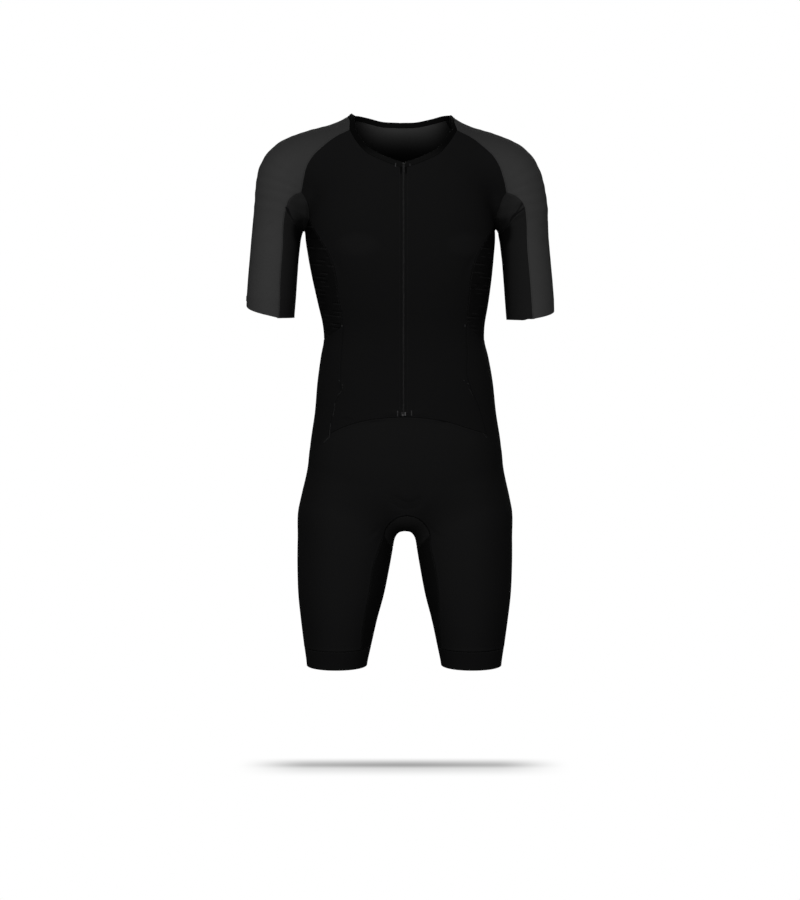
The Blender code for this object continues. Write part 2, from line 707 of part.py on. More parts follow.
def node(name: str, points: np.ndarray, faces: list, look: str) -> None:
    """A mesh object in the suit's collection, with its material."""
    mesh = bpy.data.meshes.new(name)
    mesh.from_pydata(points.tolist(), [], faces)
    mesh.materials.append(LOOKS[look])
    mesh.update()
    SUIT.objects.link(bpy.data.objects.new(name, mesh))


def cloth(
    name: str, grids: list, look: str, wall: float = WALL, lift: float = 0.0,
    ring: bool = False, gap: float = SEAM_GAP,
) -> None:
    """A cut piece: the sheet given a wall inwards from its outer face."""
    points, quads = welded(grids, ring)
    points = settle(inset(points, quads, gap), 1)
    way, _ = outward(points)
    outer, inner = points + lift * way, points + (lift - wall) * way
    n = len(points)
    # each quad is cut along the diagonal that lies nearer the form, alike on both faces
    a, b, c, d = (points[quads[:, k]] for k in range(4))
    short = np.abs(figure((a + c) / 2)) <= np.abs(figure((b + d) / 2))
    one = np.where(short[:, None], quads[:, [0, 1, 2]], quads[:, [0, 1, 3]])
    two = np.where(short[:, None], quads[:, [0, 2, 3]], quads[:, [1, 2, 3]])
    skin = np.concatenate([one, two]).tolist()
    faces = skin + [(p + n, r + n, q + n) for p, q, r in skin]
    order = points @ np.array([1.0, 2.3, 3.1])
    for a, b in rim_of(quads).tolist():
        # both pieces at a seam cut their edge quads along the same diagonal
        if order[a] > order[b]:
            faces += [(b, a, b + n), (a, a + n, b + n)]
        else:
            faces += [(b, a, a + n), (b, a + n, b + n)]
    node(name, np.vstack([outer, inner]), faces, look)


def swept(name: str, rings: np.ndarray, look: str) -> None:
    """A bar through rings of points, all wound the same way, with flat ends."""
    count, size = rings.shape[:2]
    at = np.arange(count * size).reshape(count, size)
    after = np.roll(at, -1, axis=1)
    sides = np.stack([at[:-1], after[:-1], after[1:], at[1:]], -1).reshape(-1, 4)
    faces = [tuple(map(int, q)) for q in sides]
    faces += [tuple(map(int, at[0][::-1])), tuple(map(int, at[-1]))]
    flat = rings.reshape(-1, 3)
    a, b, c, d = (flat[sides[:, k]] for k in range(4))
    volume = (np.cross(b - a, c - a) * a).sum() + (np.cross(c - a, d - a) * a).sum()
    if volume < 0:
        faces = [face[::-1] for face in faces]
    node(name, flat, faces, look)


def bind_neck(loop: np.ndarray) -> None:
    """The neck binding: a folded tape that stands on the neck seam, open at the zip."""
    way, _ = outward(loop)
    run = np.gradient(loop, axis=0)
    run /= np.linalg.norm(run, axis=1, keepdims=True)
    up = np.cross(way, run)
    up *= np.sign(up[len(up) // 2, 2])
    up /= np.linalg.norm(up, axis=1, keepdims=True)
    foot = settle(loop + up * SEAM_GAP / 2)
    crest = settle(loop + up * BINDING_WIDTH)
    for end, side in ((0, -1), (-1, 1)):
        x = FRONT_MID + side * (CHAIN_HALF + SEAM_GAP)
        z = np.array([loop[end, 2] + SEAM_GAP / 2, loop[end, 2] + BINDING_WIDTH])
        foot[end], crest[end] = sight(np.full(2, x), z, -1)
    middle = settle((foot + crest) / 2)
    stack = []
    for line, lift in (
        (foot, 0.0002), (middle, 0.0006), (crest, 0.0002),
        (crest, 0.0002 - BINDING_WALL * 0.7), (middle, 0.0006 - BINDING_WALL), (foot, -0.0014),
    ):
        stack.append(line + lift * outward(line)[0])
    swept("neck_binding", np.stack(stack, 1), "binding_black")


class ZipFrame:
    """Local frame on the zip's line: x across, d out of the cloth, t up the zip."""

    def __init__(self, height: float):
        self.origin = sight(np.array([FRONT_MID]), np.array([height]), -1)[0]
        below = sight(np.array([FRONT_MID]), np.array([height - 0.004]), -1)[0]
        above = sight(np.array([FRONT_MID]), np.array([height + 0.004]), -1)[0]
        self.out = outward(self.origin[None])[0][0]
        across = np.cross(self.out, above - below)
        self.across = across / np.linalg.norm(across) * np.sign(across[0])
        self.up = np.cross(self.across, self.out)
        self.up *= np.sign(self.up[2])

    def at(self, x: np.ndarray, d: np.ndarray, t: np.ndarray) -> np.ndarray:
        """Points in space from local x, d and t."""
        x, d, t = np.broadcast_arrays(x, d, t)
        return (
            self.origin + x[..., None] * self.across + d[..., None] * self.out + t[..., None] * self.up
        )


def make_tape() -> None:
    """The zip's tape behind both fronts, with its coil chain between their edges."""
    low, high = WAIST_FRONT + 0.0012, NECK_FRONT + 0.0070
    heights = np.linspace(high, low, 25)
    line = sight(np.full_like(heights, FRONT_MID), heights, -1)
    out, _ = outward(line)
    across = np.cross(out, np.gradient(line, axis=0))
    across /= np.linalg.norm(across, axis=1, keepdims=True) * np.sign(across[:, :1])
    section = np.array([
        (-CHAIN_HALF, CHAIN_PROUD * 0.4), (-CHAIN_HALF * 0.6, CHAIN_PROUD),
        (CHAIN_HALF * 0.6, CHAIN_PROUD), (CHAIN_HALF, CHAIN_PROUD * 0.4),
        (CHAIN_HALF, -TAPE_TOP), (TAPE_HALF, -TAPE_TOP), (TAPE_HALF, -TAPE_BACK),
        (-TAPE_HALF, -TAPE_BACK), (-TAPE_HALF, -TAPE_TOP), (-CHAIN_HALF, -TAPE_TOP),
    ])
    rings = line[:, None] + section[None, :, :1] * across[:, None]
    rings = rings + section[None, :, 1:] * out[:, None]
    swept("zip_tape", rings, "zip_black")


def bar(frame: ZipFrame, profile: np.ndarray, half: float) -> np.ndarray:
    """Rings of a bar across the zip whose (d, t) profile is given."""
    at = np.array([-half, half])
    return frame.at(at[:, None], profile[None, :, 0], profile[None, :, 1])


def rounded(low_d: float, high_d: float, low_t: float, high_t: float, cut: float) -> np.ndarray:
    """A box profile in (d, t) with its outer corners cut."""
    return np.array([
        (low_d, low_t), (high_d - cut, low_t), (high_d, low_t + cut),
        (high_d, high_t - cut), (high_d - cut, high_t), (low_d, high_t),
    ])


def make_slider() -> None:
    """The slider: a plate over the chain with two ears, and a pin between them for the tab."""
    frame = ZipFrame(SLIDER_AT)
    face = CHAIN_PROUD + SEAM_GAP
    top = face + SLIDER_THICK
    half = SLIDER_LONG / 2
    pin = top + PIN_HEIGHT
    plate = rounded(face, top, -half, half, 0.0006)
    ear = np.array([
        (top - 0.0004, -0.0017), (top + 0.0009, -0.0013), (pin + 0.0006, -0.0007),
        (pin + 0.0009, 0.0), (pin + 0.0006, 0.0007), (top + 0.0009, 0.0013),
        (top - 0.0004, 0.0017),
    ])
    turn = np.linspace(0, 2 * math.pi, 10, endpoint=False)
    rod = np.column_stack([pin + PIN_RADIUS * np.cos(turn), PIN_RADIUS * np.sin(turn)])
    pieces = [("slider_plate", bar(frame, plate, SLIDER_HALF))]
    inner, outer = TAB_HALF + SEAM_GAP, SLIDER_HALF - 0.0001
    for name, a, b in (("slider_ear_a", inner, outer), ("slider_ear_b", -outer, -inner)):
        at = np.array([a, b])
        pieces.append((name, frame.at(at[:, None], ear[None, :, 0], ear[None, :, 1])))
    pieces.append(("slider_pin", bar(frame, rod, inner + 0.0003)))
    for name, rings in pieces:
        swept(name, rings, "zip_black")
    plate_obj = bpy.data.objects["slider_plate"]
    plate_obj.name = "zip_slider"
    for name, _ in pieces[1:]:
        tool = bpy.data.objects[name]
        SUIT.objects.unlink(tool)
        TOOLS.objects.link(tool)
        tool.hide_render = True
        tool.display_type = "WIRE"
        union = plate_obj.modifiers.new(name, "BOOLEAN")
        union.operation, union.solver, union.object = "UNION", "EXACT", tool


def make_tab() -> None:
    """The pull tab: a strip rolled round the pin, its tip resting on the chain."""
    frame = ZipFrame(SLIDER_AT)
    pin = CHAIN_PROUD + SEAM_GAP + SLIDER_THICK + PIN_HEIGHT
    outer = EYE_RADIUS + 0.0006
    turn = np.radians(np.linspace(-55, 235, 14))
    # the eye: an arc open at the foot on the slider's side, in (d, t) about the pin
    ring_out = np.column_stack([outer * np.cos(turn), outer * np.sin(turn)])
    ring_in = np.column_stack([EYE_RADIUS * np.cos(turn), EYE_RADIUS * np.sin(turn)])
    lean = math.radians(TAB_LEAN)
    down = np.array([-math.sin(lean), -math.cos(lean)])
    over = np.array([math.cos(lean), -math.sin(lean)])
    start = np.array([outer * math.cos(math.radians(-55)), outer * math.sin(math.radians(-55))])
    tip = start + down * TAB_LONG
    tail = np.array([
        tip - down * 0.0006, tip - over * 0.0003, tip - over * (TAB_THICK - 0.0003),
        tip - over * TAB_THICK - down * 0.0006, start - over * TAB_THICK + down * 0.0003,
    ])
    profile = np.vstack([ring_out[::-1], tail, ring_in])
    profile = profile + np.array([pin, 0.0])
    swept("zip_pull_tab", bar(frame, profile, TAB_HALF), "zip_black")
    # the tab turns about the pin, so its own origin is there
    tab, hinge = bpy.data.objects["zip_pull_tab"], Vector(frame.origin + pin * frame.out)
    tab.data.transform(Matrix.Translation(-hinge))
    tab.location = hinge


def make_box() -> None:
    """The stop at the foot of the zip: a small box that lies on both fronts' edges."""
    frame = ZipFrame(WAIST_FRONT + 0.0015 + BOX_LONG / 2)
    low = CHAIN_PROUD + SEAM_GAP
    profile = rounded(low, low + BOX_THICK, -BOX_LONG / 2, BOX_LONG / 2, 0.0006)
    swept("zip_box", bar(frame, profile, BOX_HALF), "zip_grey")


def make_look(name: str, colour: tuple, rough: float, metal: float = 0.0):
    """One finish as a plain material."""
    look = bpy.data.materials.new(name)
    look.use_nodes = True
    shader = look.node_tree.nodes["Principled BSDF"]
    shader.inputs["Base Color"].default_value = (*colour, 1.0)
    shader.inputs["Roughness"].default_value = rough
    shader.inputs["Metallic"].default_value = metal
    return look


def main() -> None:
    """Builds every piece of the suit."""
    right, left = Seams(-1), Seams(1)
    for name, s in (("right", right), ("left", left)):
        rail = join(s.raglan, s.edge, s.mesh, s.hip)
        front = patch(s.neck[::-1], s.waist_cut[::-1], rail, s.zip)
        cloth(f"front_{name}", [front], "body_black")
        fore, aft = join(s.raglan, s.cap, s.under), join(s.raglan_back, s.cap_back, s.under_back)
        outer = patch(s.neck_fore, s.hem_fore, fore, s.ridge)
        behind = patch(s.neck_aft, s.hem_aft, s.ridge, aft)
        cloth(f"sleeve_{name}", [outer, behind], "sleeve_grey")
        under = patch(s.arm_pit, s.hem_under, s.under, s.under_back)
        cloth(f"under_sleeve_{name}", [under], "under_sleeve_black")
        gusset = patch(
            join(s.edge[::-1], s.cap), join(s.edge_back[::-1], s.cap_back), s.pit, s.arm_pit
        )
        cloth(f"underarm_gusset_{name}", [gusset], "gusset_black", gap=PIT_GAP)
        mesh = patch(s.pit, s.mesh_foot, s.mesh, s.mesh_back)
        cloth(f"side_mesh_{name}", [mesh], "mesh_black")
        lower = patch(s.mesh_foot, join(s.waist_fore, s.waist_aft), s.hip, s.hip_back)
        cloth(f"side_lower_{name}", [lower], "body_black")
        inner = patch(s.crotch, s.band_inner, s.thigh, s.thigh_back)
        cloth(f"inner_thigh_{name}", [inner], "thigh_black")
        top = join(s.band_fore, s.band_aft, s.band_inner[::-1])[:-1]
        foot = top.copy()
        foot[:, 2] = LEG_HEM
        foot = settle(foot)
        foot[:, 2] = LEG_HEM
        foot = settle(foot, 2)
        middle = settle((top + foot) / 2)
        cloth(f"leg_band_{name}", [np.stack([top, middle, foot])], "band_black",
              BAND_WALL, 0.0003, ring=True)
    yoke = patch(
        join(right.nape[::-1], left.nape), join(right.yoke[::-1], left.yoke),
        right.raglan_back[: N_YOKE + 1], left.raglan_back[: N_YOKE + 1],
    )
    cloth("back_yoke", [yoke], "sleeve_grey")
    rails = [join(s.raglan_back[N_YOKE:], s.edge_back, s.mesh_back, s.hip_back) for s in (right, left)]
    back = patch(
        join(right.yoke[::-1], left.yoke), join(right.waist_back[::-1], left.waist_back), *rails
    )
    cloth("back_body", [back], "body_black")
    fronts, backs = [], []
    for s in (right, left):
        inner = join(s.middle, s.arch, s.thigh)
        fronts.append(patch(join(s.waist, s.waist_fore), s.band_fore, inner, s.leg_side))
        inner = join(s.middle_back, s.arch_back, s.thigh_back)
        backs.append(
            patch(join(s.waist_back, s.waist_aft[::-1]), s.band_aft[::-1], inner, s.leg_side)
        )
    cloth("shorts_front", fronts, "shorts_black")
    cloth("shorts_back", backs, "shorts_black")
    crotch = patch(
        join(right.arch[::-1], left.arch), join(right.arch_back[::-1], left.arch_back),
        right.crotch, left.crotch,
    )
    cloth("crotch_gusset", [crotch], "thigh_black")
    bind_neck(join(
        right.neck, right.neck_fore, right.neck_aft, right.nape[::-1],
        left.nape, left.neck_aft[::-1], left.neck_fore[::-1], left.neck[::-1],
    ))
    make_tape()
    make_slider()
    make_tab()
    make_box()


for thing in list(bpy.data.objects):
    bpy.data.objects.remove(thing, do_unlink=True)
SUIT = bpy.data.collections.new("triathlon_suit")
TOOLS = bpy.data.collections.new("tools")
TOOLS.hide_render = True
bpy.context.scene.collection.children.link(SUIT)
bpy.context.scene.collection.children.link(TOOLS)
LOOKS = {
    "body_black": make_look("body_black", (0.006, 0.006, 0.007), 0.72),
    "shorts_black": make_look("shorts_black", (0.007, 0.007, 0.008), 0.68),
    "sleeve_grey": make_look("sleeve_grey", (0.030, 0.030, 0.032), 0.80),
    "under_sleeve_black": make_look("under_sleeve_black", (0.007, 0.007, 0.008), 0.74),
    "gusset_black": make_look("gusset_black", (0.010, 0.010, 0.011), 0.55),
    "mesh_black": make_look("mesh_black", (0.003, 0.003, 0.003), 0.85),
    "thigh_black": make_look("thigh_black", (0.004, 0.004, 0.004), 0.80),
    "band_black": make_look("band_black", (0.005, 0.005, 0.006), 0.60),
    "binding_black": make_look("binding_black", (0.002, 0.002, 0.002), 0.70),
    "zip_black": make_look("zip_black", (0.012, 0.012, 0.013), 0.45),
    "zip_grey": make_look("zip_grey", (0.10, 0.10, 0.105), 0.40),
}
main()
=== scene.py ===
"""Triathlon suit with short raglan sleeves and a front zip: the dressed model on its frame.

Metres, +Z up, the front faces -Y, +X is the wearer's left. Every panel of cloth is a grid of
points between seam lines on one smooth form; creases, seam grooves and stitches are laid on it.
"""

from __future__ import annotations

import logging
import math
from dataclasses import dataclass, field
from enum import Enum
from functools import cache

import bpy
import numpy as np
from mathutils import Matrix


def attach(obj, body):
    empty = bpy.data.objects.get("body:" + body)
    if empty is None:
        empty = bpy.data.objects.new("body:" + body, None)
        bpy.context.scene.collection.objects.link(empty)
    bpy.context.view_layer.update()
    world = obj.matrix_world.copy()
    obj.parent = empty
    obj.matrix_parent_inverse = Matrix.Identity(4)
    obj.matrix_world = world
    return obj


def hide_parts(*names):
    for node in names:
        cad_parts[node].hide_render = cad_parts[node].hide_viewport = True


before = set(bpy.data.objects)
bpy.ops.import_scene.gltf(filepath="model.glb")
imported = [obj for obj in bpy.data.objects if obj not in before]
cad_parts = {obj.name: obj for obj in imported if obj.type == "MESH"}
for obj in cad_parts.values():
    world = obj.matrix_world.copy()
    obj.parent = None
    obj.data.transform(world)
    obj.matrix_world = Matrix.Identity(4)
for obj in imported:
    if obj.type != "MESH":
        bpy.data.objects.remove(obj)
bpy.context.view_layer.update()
LOG = logging.getLogger("suit")

FINE = 6  # grid steps for each step of the frame's own panels
EDGE_SHARES = ((0.15, 0.35, 0.65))  # extra grid lines near a seam, in steps
SEAM_INSET = 0.00006  # each sewn piece is drawn in by this much
PIT_INSET = 0.00016
WALL = 0.0009
BAND_WALL = 0.0016
FRONT_MID = 0.0015  # middle line of the front
NECK_FRONT = -0.0935  # neck seam at the zip
WAIST_FRONT = -0.489  # waist seam at the zip
WAIST_BACK = -0.54
YOKE_BACK = -0.105
LEG_SEAM = -0.873
LEG_HEM = -0.905
SLEEVE_HEM = -0.329
SLEEVE_PULL = 0.006  # how much further down the left sleeve is pulled
SLEEVE_RISE = 0.37
CHAIN_HALF = 0.0021
CHAIN_PROUD = 0.0006
SLIDER_AT = -0.0905
STOP_AT = WAIST_FRONT + 0.0015 + 0.0035  # middle of the stop at the zip's foot
BINDING_WIDTH = 0.009
RELAX_ROUNDS = 12  # times a panel's coarse grid is evened out
CREASE_STEPS = 40  # steps along a crease's line

# grid steps of the frame's panels along each seam; seams that face each other match
N_NECK, N_SLEEVE, N_BACK, N_RAGLAN, N_YOKE = (n * FINE for n in (9, 8, 7, 10, 5))
N_EDGE, N_MESH, N_HIP, N_UNDER, N_ROUND = (n * FINE for n in (2, 9, 8, 8, 6))
N_RISE, N_ARCH, N_THIGH = (n * FINE for n in (7, 4, 9))

Rows = dict[str, np.ndarray]
Array = np.ndarray


class Side(Enum):
    """The wearer's side."""

    RIGHT = -1
    LEFT = 1


class Face(Enum):
    """The face of the suit a line is looked at from."""

    FRONT = -1
    BACK = 1


def table(names: str, text: str) -> Rows:
    """A table of numbers as arrays by column name.

    Args:
        names: The columns' names.
        text: The rows, parted by commas.

    Returns:
        The columns by name.
    """
    rows = np.array([[float(v) for v in row.split()] for row in text.split(",")])
    return dict(zip(names.split(), rows.T))


def smoothstep(low: float, high: float, value: Array) -> Array:
    """Eased step 3t^2 - 2t^3 with t the value's share of the way from low to high."""
    t = np.clip((np.asarray(value) - low) / (high - low), 0.0, 1.0)
    return t * t * (3 - 2 * t)


def run_of(line: Array) -> Array:
    """Length walked along a line of points at each of its points."""
    return np.concatenate([[0.0], np.cumsum(np.linalg.norm(np.diff(line, axis=0), axis=1))])


def read_line(line: Array, keys: Array, at: Array) -> Array:
    """A line's points read between its own, by a key that rises along it."""
    return np.stack([np.interp(at, keys, line[:, k]) for k in range(3)], 1)


def hermite(knots: Array, at: Array, run: Array) -> Array:
    """Cubic curve through knots.

    Each stretch is the Hermite cubic of its two ends with the knots' own mean slopes.

    Args:
        knots: Points to pass through.
        at: Lengths along the curve that are wanted.
        run: Length along the curve at each knot.

    Returns:
        The curve's points.
    """
    i = np.clip(np.searchsorted(run, at) - 1, 0, len(run) - 2)
    h = (run[i + 1] - run[i])[:, None]
    t = ((at - run[i]) / h[:, 0])[:, None]
    slopes = np.gradient(knots, run, axis=0)
    return (
        knots[i] * (1 + 2 * t) * (1 - t) ** 2
        + slopes[i] * h * t * (1 - t) ** 2
        + knots[i + 1] * t * t * (3 - 2 * t)
        + slopes[i + 1] * h * t * t * (t - 1)
    )


def refined(rows: Rows, count: int) -> Rows:
    """A table with rows put in between its own by smooth curves, counted by row."""
    knots = np.stack(list(rows.values()), 1)
    run = np.arange(len(knots), dtype=float)
    return dict(zip(rows, hermite(knots, np.linspace(0, run[-1], count * (len(knots) - 1) + 1), run).T))


def spaced(line: Array, count: int) -> Array:
    """The line resampled to an even number of steps of equal length."""
    run = run_of(line)
    return read_line(line, run, np.linspace(0, run[-1], count + 1))


def join(*lines: Array) -> Array:
    """Lines end to end as one, each shared end once."""
    return np.concatenate([lines[0]] + [line[1:] for line in lines[1:]])


def dense(rows: Rows, step: float = 0.0005) -> Rows:
    """A section table sampled finely.

    Each column is a Hermite cubic in height with clamped ends, so that reading it later is one
    straight interpolation.

    Args:
        rows: The table, its first column the height, falling.
        step: Height between the samples, in metres.

    Returns:
        The same columns at even heights, rising.
    """
    knots = rows["height"][::-1]
    heights = np.arange(knots[0], knots[-1] + step, step)
    heights = np.clip(heights, knots[0], knots[-1])
    out = {"height": heights}
    for name, values in rows.items():
        if name != "height":
            out[name] = hermite(values[::-1, None], heights, knots)[:, 0]
    return out


@dataclass(frozen=True)
class Figure:
    """The smooth form under the cloth: level sections of a trunk and two legs, and two arms."""

    crotch: float = -0.68
    crotch_round: float = 0.03
    legs_below: float = -0.5  # the legs' own sections are read below this height
    arms_above: float = -0.45  # and the arms' above this one
    hip_blend: float = 0.022  # rounding where the legs meet the trunk
    pit_heights: tuple[float, ...] = (0.02, 0.06, 0.15, 0.18, 0.2)
    pit_blends: tuple[float, ...] = (0.034, 0.045, 0.03, 0.013, 0.006)
    arm_depth: float = 1.16
    shoulder_drop: float = 0.0123
    turn: Rows = field(default_factory=lambda: table("height degrees", """
        0.03 3.0, -0.3 3.0, -0.42 0.5, -0.92 0.0
    """))
    sway: Rows = field(default_factory=lambda: dense(table("height shift", """
        0.02 -0.001, -0.08 -0.0035, -0.2 -0.004, -0.31 0.0005, -0.4 0.0035, -0.52 0.005, -0.7 0.004,
        -0.92 0.0025
    """)))
    trunk: Rows = field(default_factory=lambda: dense(
        table("height half_width centre front back square", """
        0.03 0.06 0.02 0.052 0.05 2.0, 0.0 0.074 0.014 0.058 0.056 2.0,
        -0.03 0.098 0.006 0.066 0.072 2.1, -0.06 0.122 0.002 0.078 0.088 2.2,
        -0.1 0.14 0.0 0.094 0.099 2.35, -0.15 0.15 0.0 0.108 0.106 2.5,
        -0.205 0.154 0.0 0.116 0.106 2.5, -0.231 0.1512 0.0 0.117 0.103 2.45,
        -0.271 0.1456 0.0 0.114 0.097 2.4, -0.31 0.1387 0.0 0.108 0.09 2.35,
        -0.349 0.1315 0.0 0.101 0.085 2.3, -0.366 0.1307 0.0 0.099 0.084 2.3,
        -0.395 0.1365 0.0 0.097 0.086 2.3, -0.435 0.143 0.0 0.097 0.094 2.3,
        -0.487 0.1483 0.002 0.1 0.108 2.3, -0.54 0.1563 0.006 0.104 0.114 2.3,
        -0.592 0.16 0.009 0.102 0.113 2.3, -0.631 0.156 0.01 0.094 0.103 2.3,
        -0.66 0.145 0.01 0.08 0.09 2.2, -0.69 0.125 0.01 0.06 0.07 2.1
    """)))
    leg: Rows = field(default_factory=lambda: dense(
        table("height out half_width centre front back square", """
        -0.52 0.07 0.03 0.01 0.03 0.03 2.0, -0.56 0.077 0.055 0.01 0.055 0.06 2.0,
        -0.6 0.085 0.074 0.01 0.074 0.092 2.1, -0.64 0.092 0.082 0.01 0.083 0.097 2.2,
        -0.697 0.0969 0.0795 0.008 0.086 0.093 2.2, -0.75 0.1014 0.075 0.005 0.083 0.083 2.2,
        -0.789 0.1045 0.0703 0.003 0.079 0.078 2.2, -0.828 0.1076 0.063 0.001 0.073 0.072 2.15,
        -0.868 0.1095 0.056 0.0 0.065 0.066 2.1, -0.907 0.111 0.0495 0.0 0.058 0.06 2.1,
        -0.94 0.112 0.048 0.0 0.056 0.058 2.1
    """)))
    arm: Rows = field(default_factory=lambda: refined(table("out fore height radius", """
        0.04 0.012 -0.052 0.0403, 0.1001 0.01 -0.0654 0.0451, 0.1461 0.007 -0.0826 0.0496,
        0.1765 0.005 -0.1013 0.051, 0.191 0.003 -0.1394 0.0467, 0.2019 0.0 -0.204 0.04,
        0.2105 -0.004 -0.3027 0.04, 0.2119 -0.006 -0.35 0.038
    """), 3))
    arm_aside: Rows = field(default_factory=lambda: table("down shift", """
        0.09 0.0, 0.15 0.0029, 0.24 -0.0004, 0.33 -0.0045
    """))

    @staticmethod
    def read(rows: Rows, name: str, height: Array) -> Array:
        """A column of a dense table at any height."""
        return np.interp(height, rows["height"], rows[name])

    @staticmethod
    def soft_min(a: Array, b: Array, blend: Array | float) -> Array:
        """The smaller of two distances, less a quarter of the squared nearness where they meet."""
        near = np.maximum(blend - np.abs(a - b), 0.0) / blend
        return np.minimum(a, b) - near * near * blend / 4

    def degrees(self, height: Array) -> Array:
        """How far the form is turned about the upright axis at a height, in radians."""
        return np.radians(np.interp(-height, -self.turn["height"], self.turn["degrees"]))

    def drop(self, height: Array, out: Array) -> Array:
        """How much lower the form hangs this far out to the left; none of it below the waist."""
        return np.clip((height + 0.42) / 0.1, 0, 1) * self.shoulder_drop * out

    def tube(self, x: Array, y: Array, z: Array, rows: Rows) -> Array:
        """Distance to an upright tube of squarish ovals.

        With r the n-th root of |x/width|^n + |y/depth|^n, the distance is the point's own reach
        from the axis times 1 - 1/r.

        Args:
            x: Across.
            y: Front to back.
            z: Height.
            rows: The tube's section table.

        Returns:
            The distances, negative inside.
        """
        dy = y - self.read(rows, "centre", z)
        depth = np.where(dy < 0, self.read(rows, "front", z), self.read(rows, "back", z))
        n = self.read(rows, "square", z)
        ratio = (np.abs(x) / self.read(rows, "half_width", z)) ** n + (np.abs(dy) / depth) ** n
        return np.hypot(x, dy) * (1 - 1 / (ratio + 1e-12) ** (1 / n))

    def limb(self, x: Array, y: Array, z: Array) -> Array:
        """Distance to the arm: the least of those to short straight lengths with changing radii.

        Args:
            x: Across, from the middle outwards.
            y: Front to back.
            z: Height.

        Returns:
            The distances, negative inside.
        """
        ends = np.stack([self.arm["out"], self.arm["fore"], self.arm["height"]], 1)
        spots = np.stack([x, y, z], 1)
        squeeze = np.array([1, self.arm_depth, 1])
        radius = self.arm["radius"]
        nearest = None
        for a, b, ra, rb in zip(ends[:-1], ends[1:], radius[:-1], radius[1:]):
            t = np.clip((spots - a) @ (b - a) / ((b - a) @ (b - a)), 0, 1)
            off = (spots - a - t[:, None] * (b - a)) / squeeze
            away = np.linalg.norm(off, axis=1) - (ra + t * (rb - ra))
            nearest = away if nearest is None else np.minimum(nearest, away)
        return nearest

    def distance(self, points: Array) -> Array:
        """Distance of each point from the form.

        Trunk, legs and arms are tubes in a frame that sways and turns with height; the trunk is
        cut off at the crotch, and all are joined with rounded minima.

        Args:
            points: Points in space, one a row.

        Returns:
            The distances, negative inside.
        """
        height = points[:, 2]
        turn = self.degrees(height)
        x0 = points[:, 0] - self.read(self.sway, "shift", height)
        x = np.cos(turn) * x0 + np.sin(turn) * points[:, 1]
        y = np.cos(turn) * points[:, 1] - np.sin(turn) * x0
        z = height + self.drop(height, x)
        out = np.full(len(points), 9.0)
        low = z < self.legs_below
        high = z > self.arms_above
        trunk = self.tube(x, y, z, self.trunk)
        trunk = -self.soft_min(-trunk, z - self.crotch, self.crotch_round)
        if low.any():
            xl, yl, zl = x[low], y[low], z[low]
            leg = self.tube(np.abs(xl) - self.read(self.leg, "out", zl), yl, zl, self.leg)
            out[low] = -self.soft_min(-leg, -zl - 0.53, self.crotch_round)
        body = self.soft_min(trunk, out, self.hip_blend)
        if high.any():
            xh, yh, zh = x[high], y[high], z[high]
            aside = np.abs(xh - np.interp(-zh, self.arm_aside["down"], self.arm_aside["shift"]))
            blend = np.interp(-zh, self.pit_heights, self.pit_blends)
            body[high] = self.soft_min(body[high], self.limb(aside, yh, zh), blend)
        return body

    def outward(self, points: Array) -> tuple[Array, Array]:
        """Outward directions of the form and how steep its distance is.

        The slope is summed from the distances at the four corners of a small tetrahedron.

        Args:
            points: Points on or near the form.

        Returns:
            Unit directions, and the slope's length.
        """
        step = 3e-5
        ways = np.array([[1, -1, -1], [-1, -1, 1], [-1, 1, -1], [1, 1, 1]], float)
        rise = sum(way * self.distance(points + way * step)[:, None] for way in ways)
        rise = rise / (4 * step)
        steep = np.linalg.norm(rise, axis=1, keepdims=True)
        return rise / steep, steep[:, 0]

    def settle(self, points: Array, rounds: int = 7) -> Array:
        """The points moved onto the form by Newton steps along its outward direction."""
        flat = np.array(points, float).reshape(-1, 3)
        for _ in range(rounds):
            way, steep = self.outward(flat)
            flat = flat - np.clip(self.distance(flat) / steep, -0.02, 0.02)[:, None] * way
        return flat.reshape(np.shape(points))

    def sight(self, x: Array, z: Array, face: Face) -> Array:
        """Points of the form met when looking along Y.

        Args:
            x: Across.
            z: Height.
            face: The face looked at.

        Returns:
            The first points met, found by stepping inwards and then halving the step.
        """
        x, z = np.broadcast_arrays(np.asarray(x, float), np.asarray(z, float))
        steps = np.linspace(0.2, 0.0, 81)
        away = [self.distance(np.stack([x, np.full_like(x, face.value * s), z], 1)) for s in steps]
        inside = np.array(away) < 0
        first = np.where(inside.any(0), inside.argmax(0), len(steps) - 1)
        far, near = steps[np.maximum(first - 1, 0)], steps[first]
        for _ in range(18):
            mid = (far + near) / 2
            within = self.distance(np.stack([x, face.value * mid, z], 1)) < 0
            near, far = np.where(within, mid, near), np.where(within, far, mid)
        return self.settle(np.stack([x, face.value * near, z], 1), 3)

    def mid_x(self, height: Array, face: Face) -> Array:
        """Where the middle line stands on a face."""
        if face is Face.FRONT:
            return np.full_like(height, FRONT_MID)
        return 2 * self.read(self.sway, "shift", height) - FRONT_MID

    def guided(self, rows: Rows, side: Side) -> Array:
        """A guide's points on the form, about its own turned middle.

        Args:
            rows: The guide's table, out, fore and height.
            side: The wearer's side.

        Returns:
            The points.
        """
        turn = self.degrees(rows["height"])
        out = side.value * rows["out"]
        shift = self.read(self.sway, "shift", rows["height"])
        x = shift + np.cos(turn) * out - np.sin(turn) * rows["fore"]
        y = np.cos(turn) * rows["fore"] + np.sin(turn) * out
        return self.settle(np.stack([x, y, rows["height"] - self.drop(rows["height"], out)], 1))

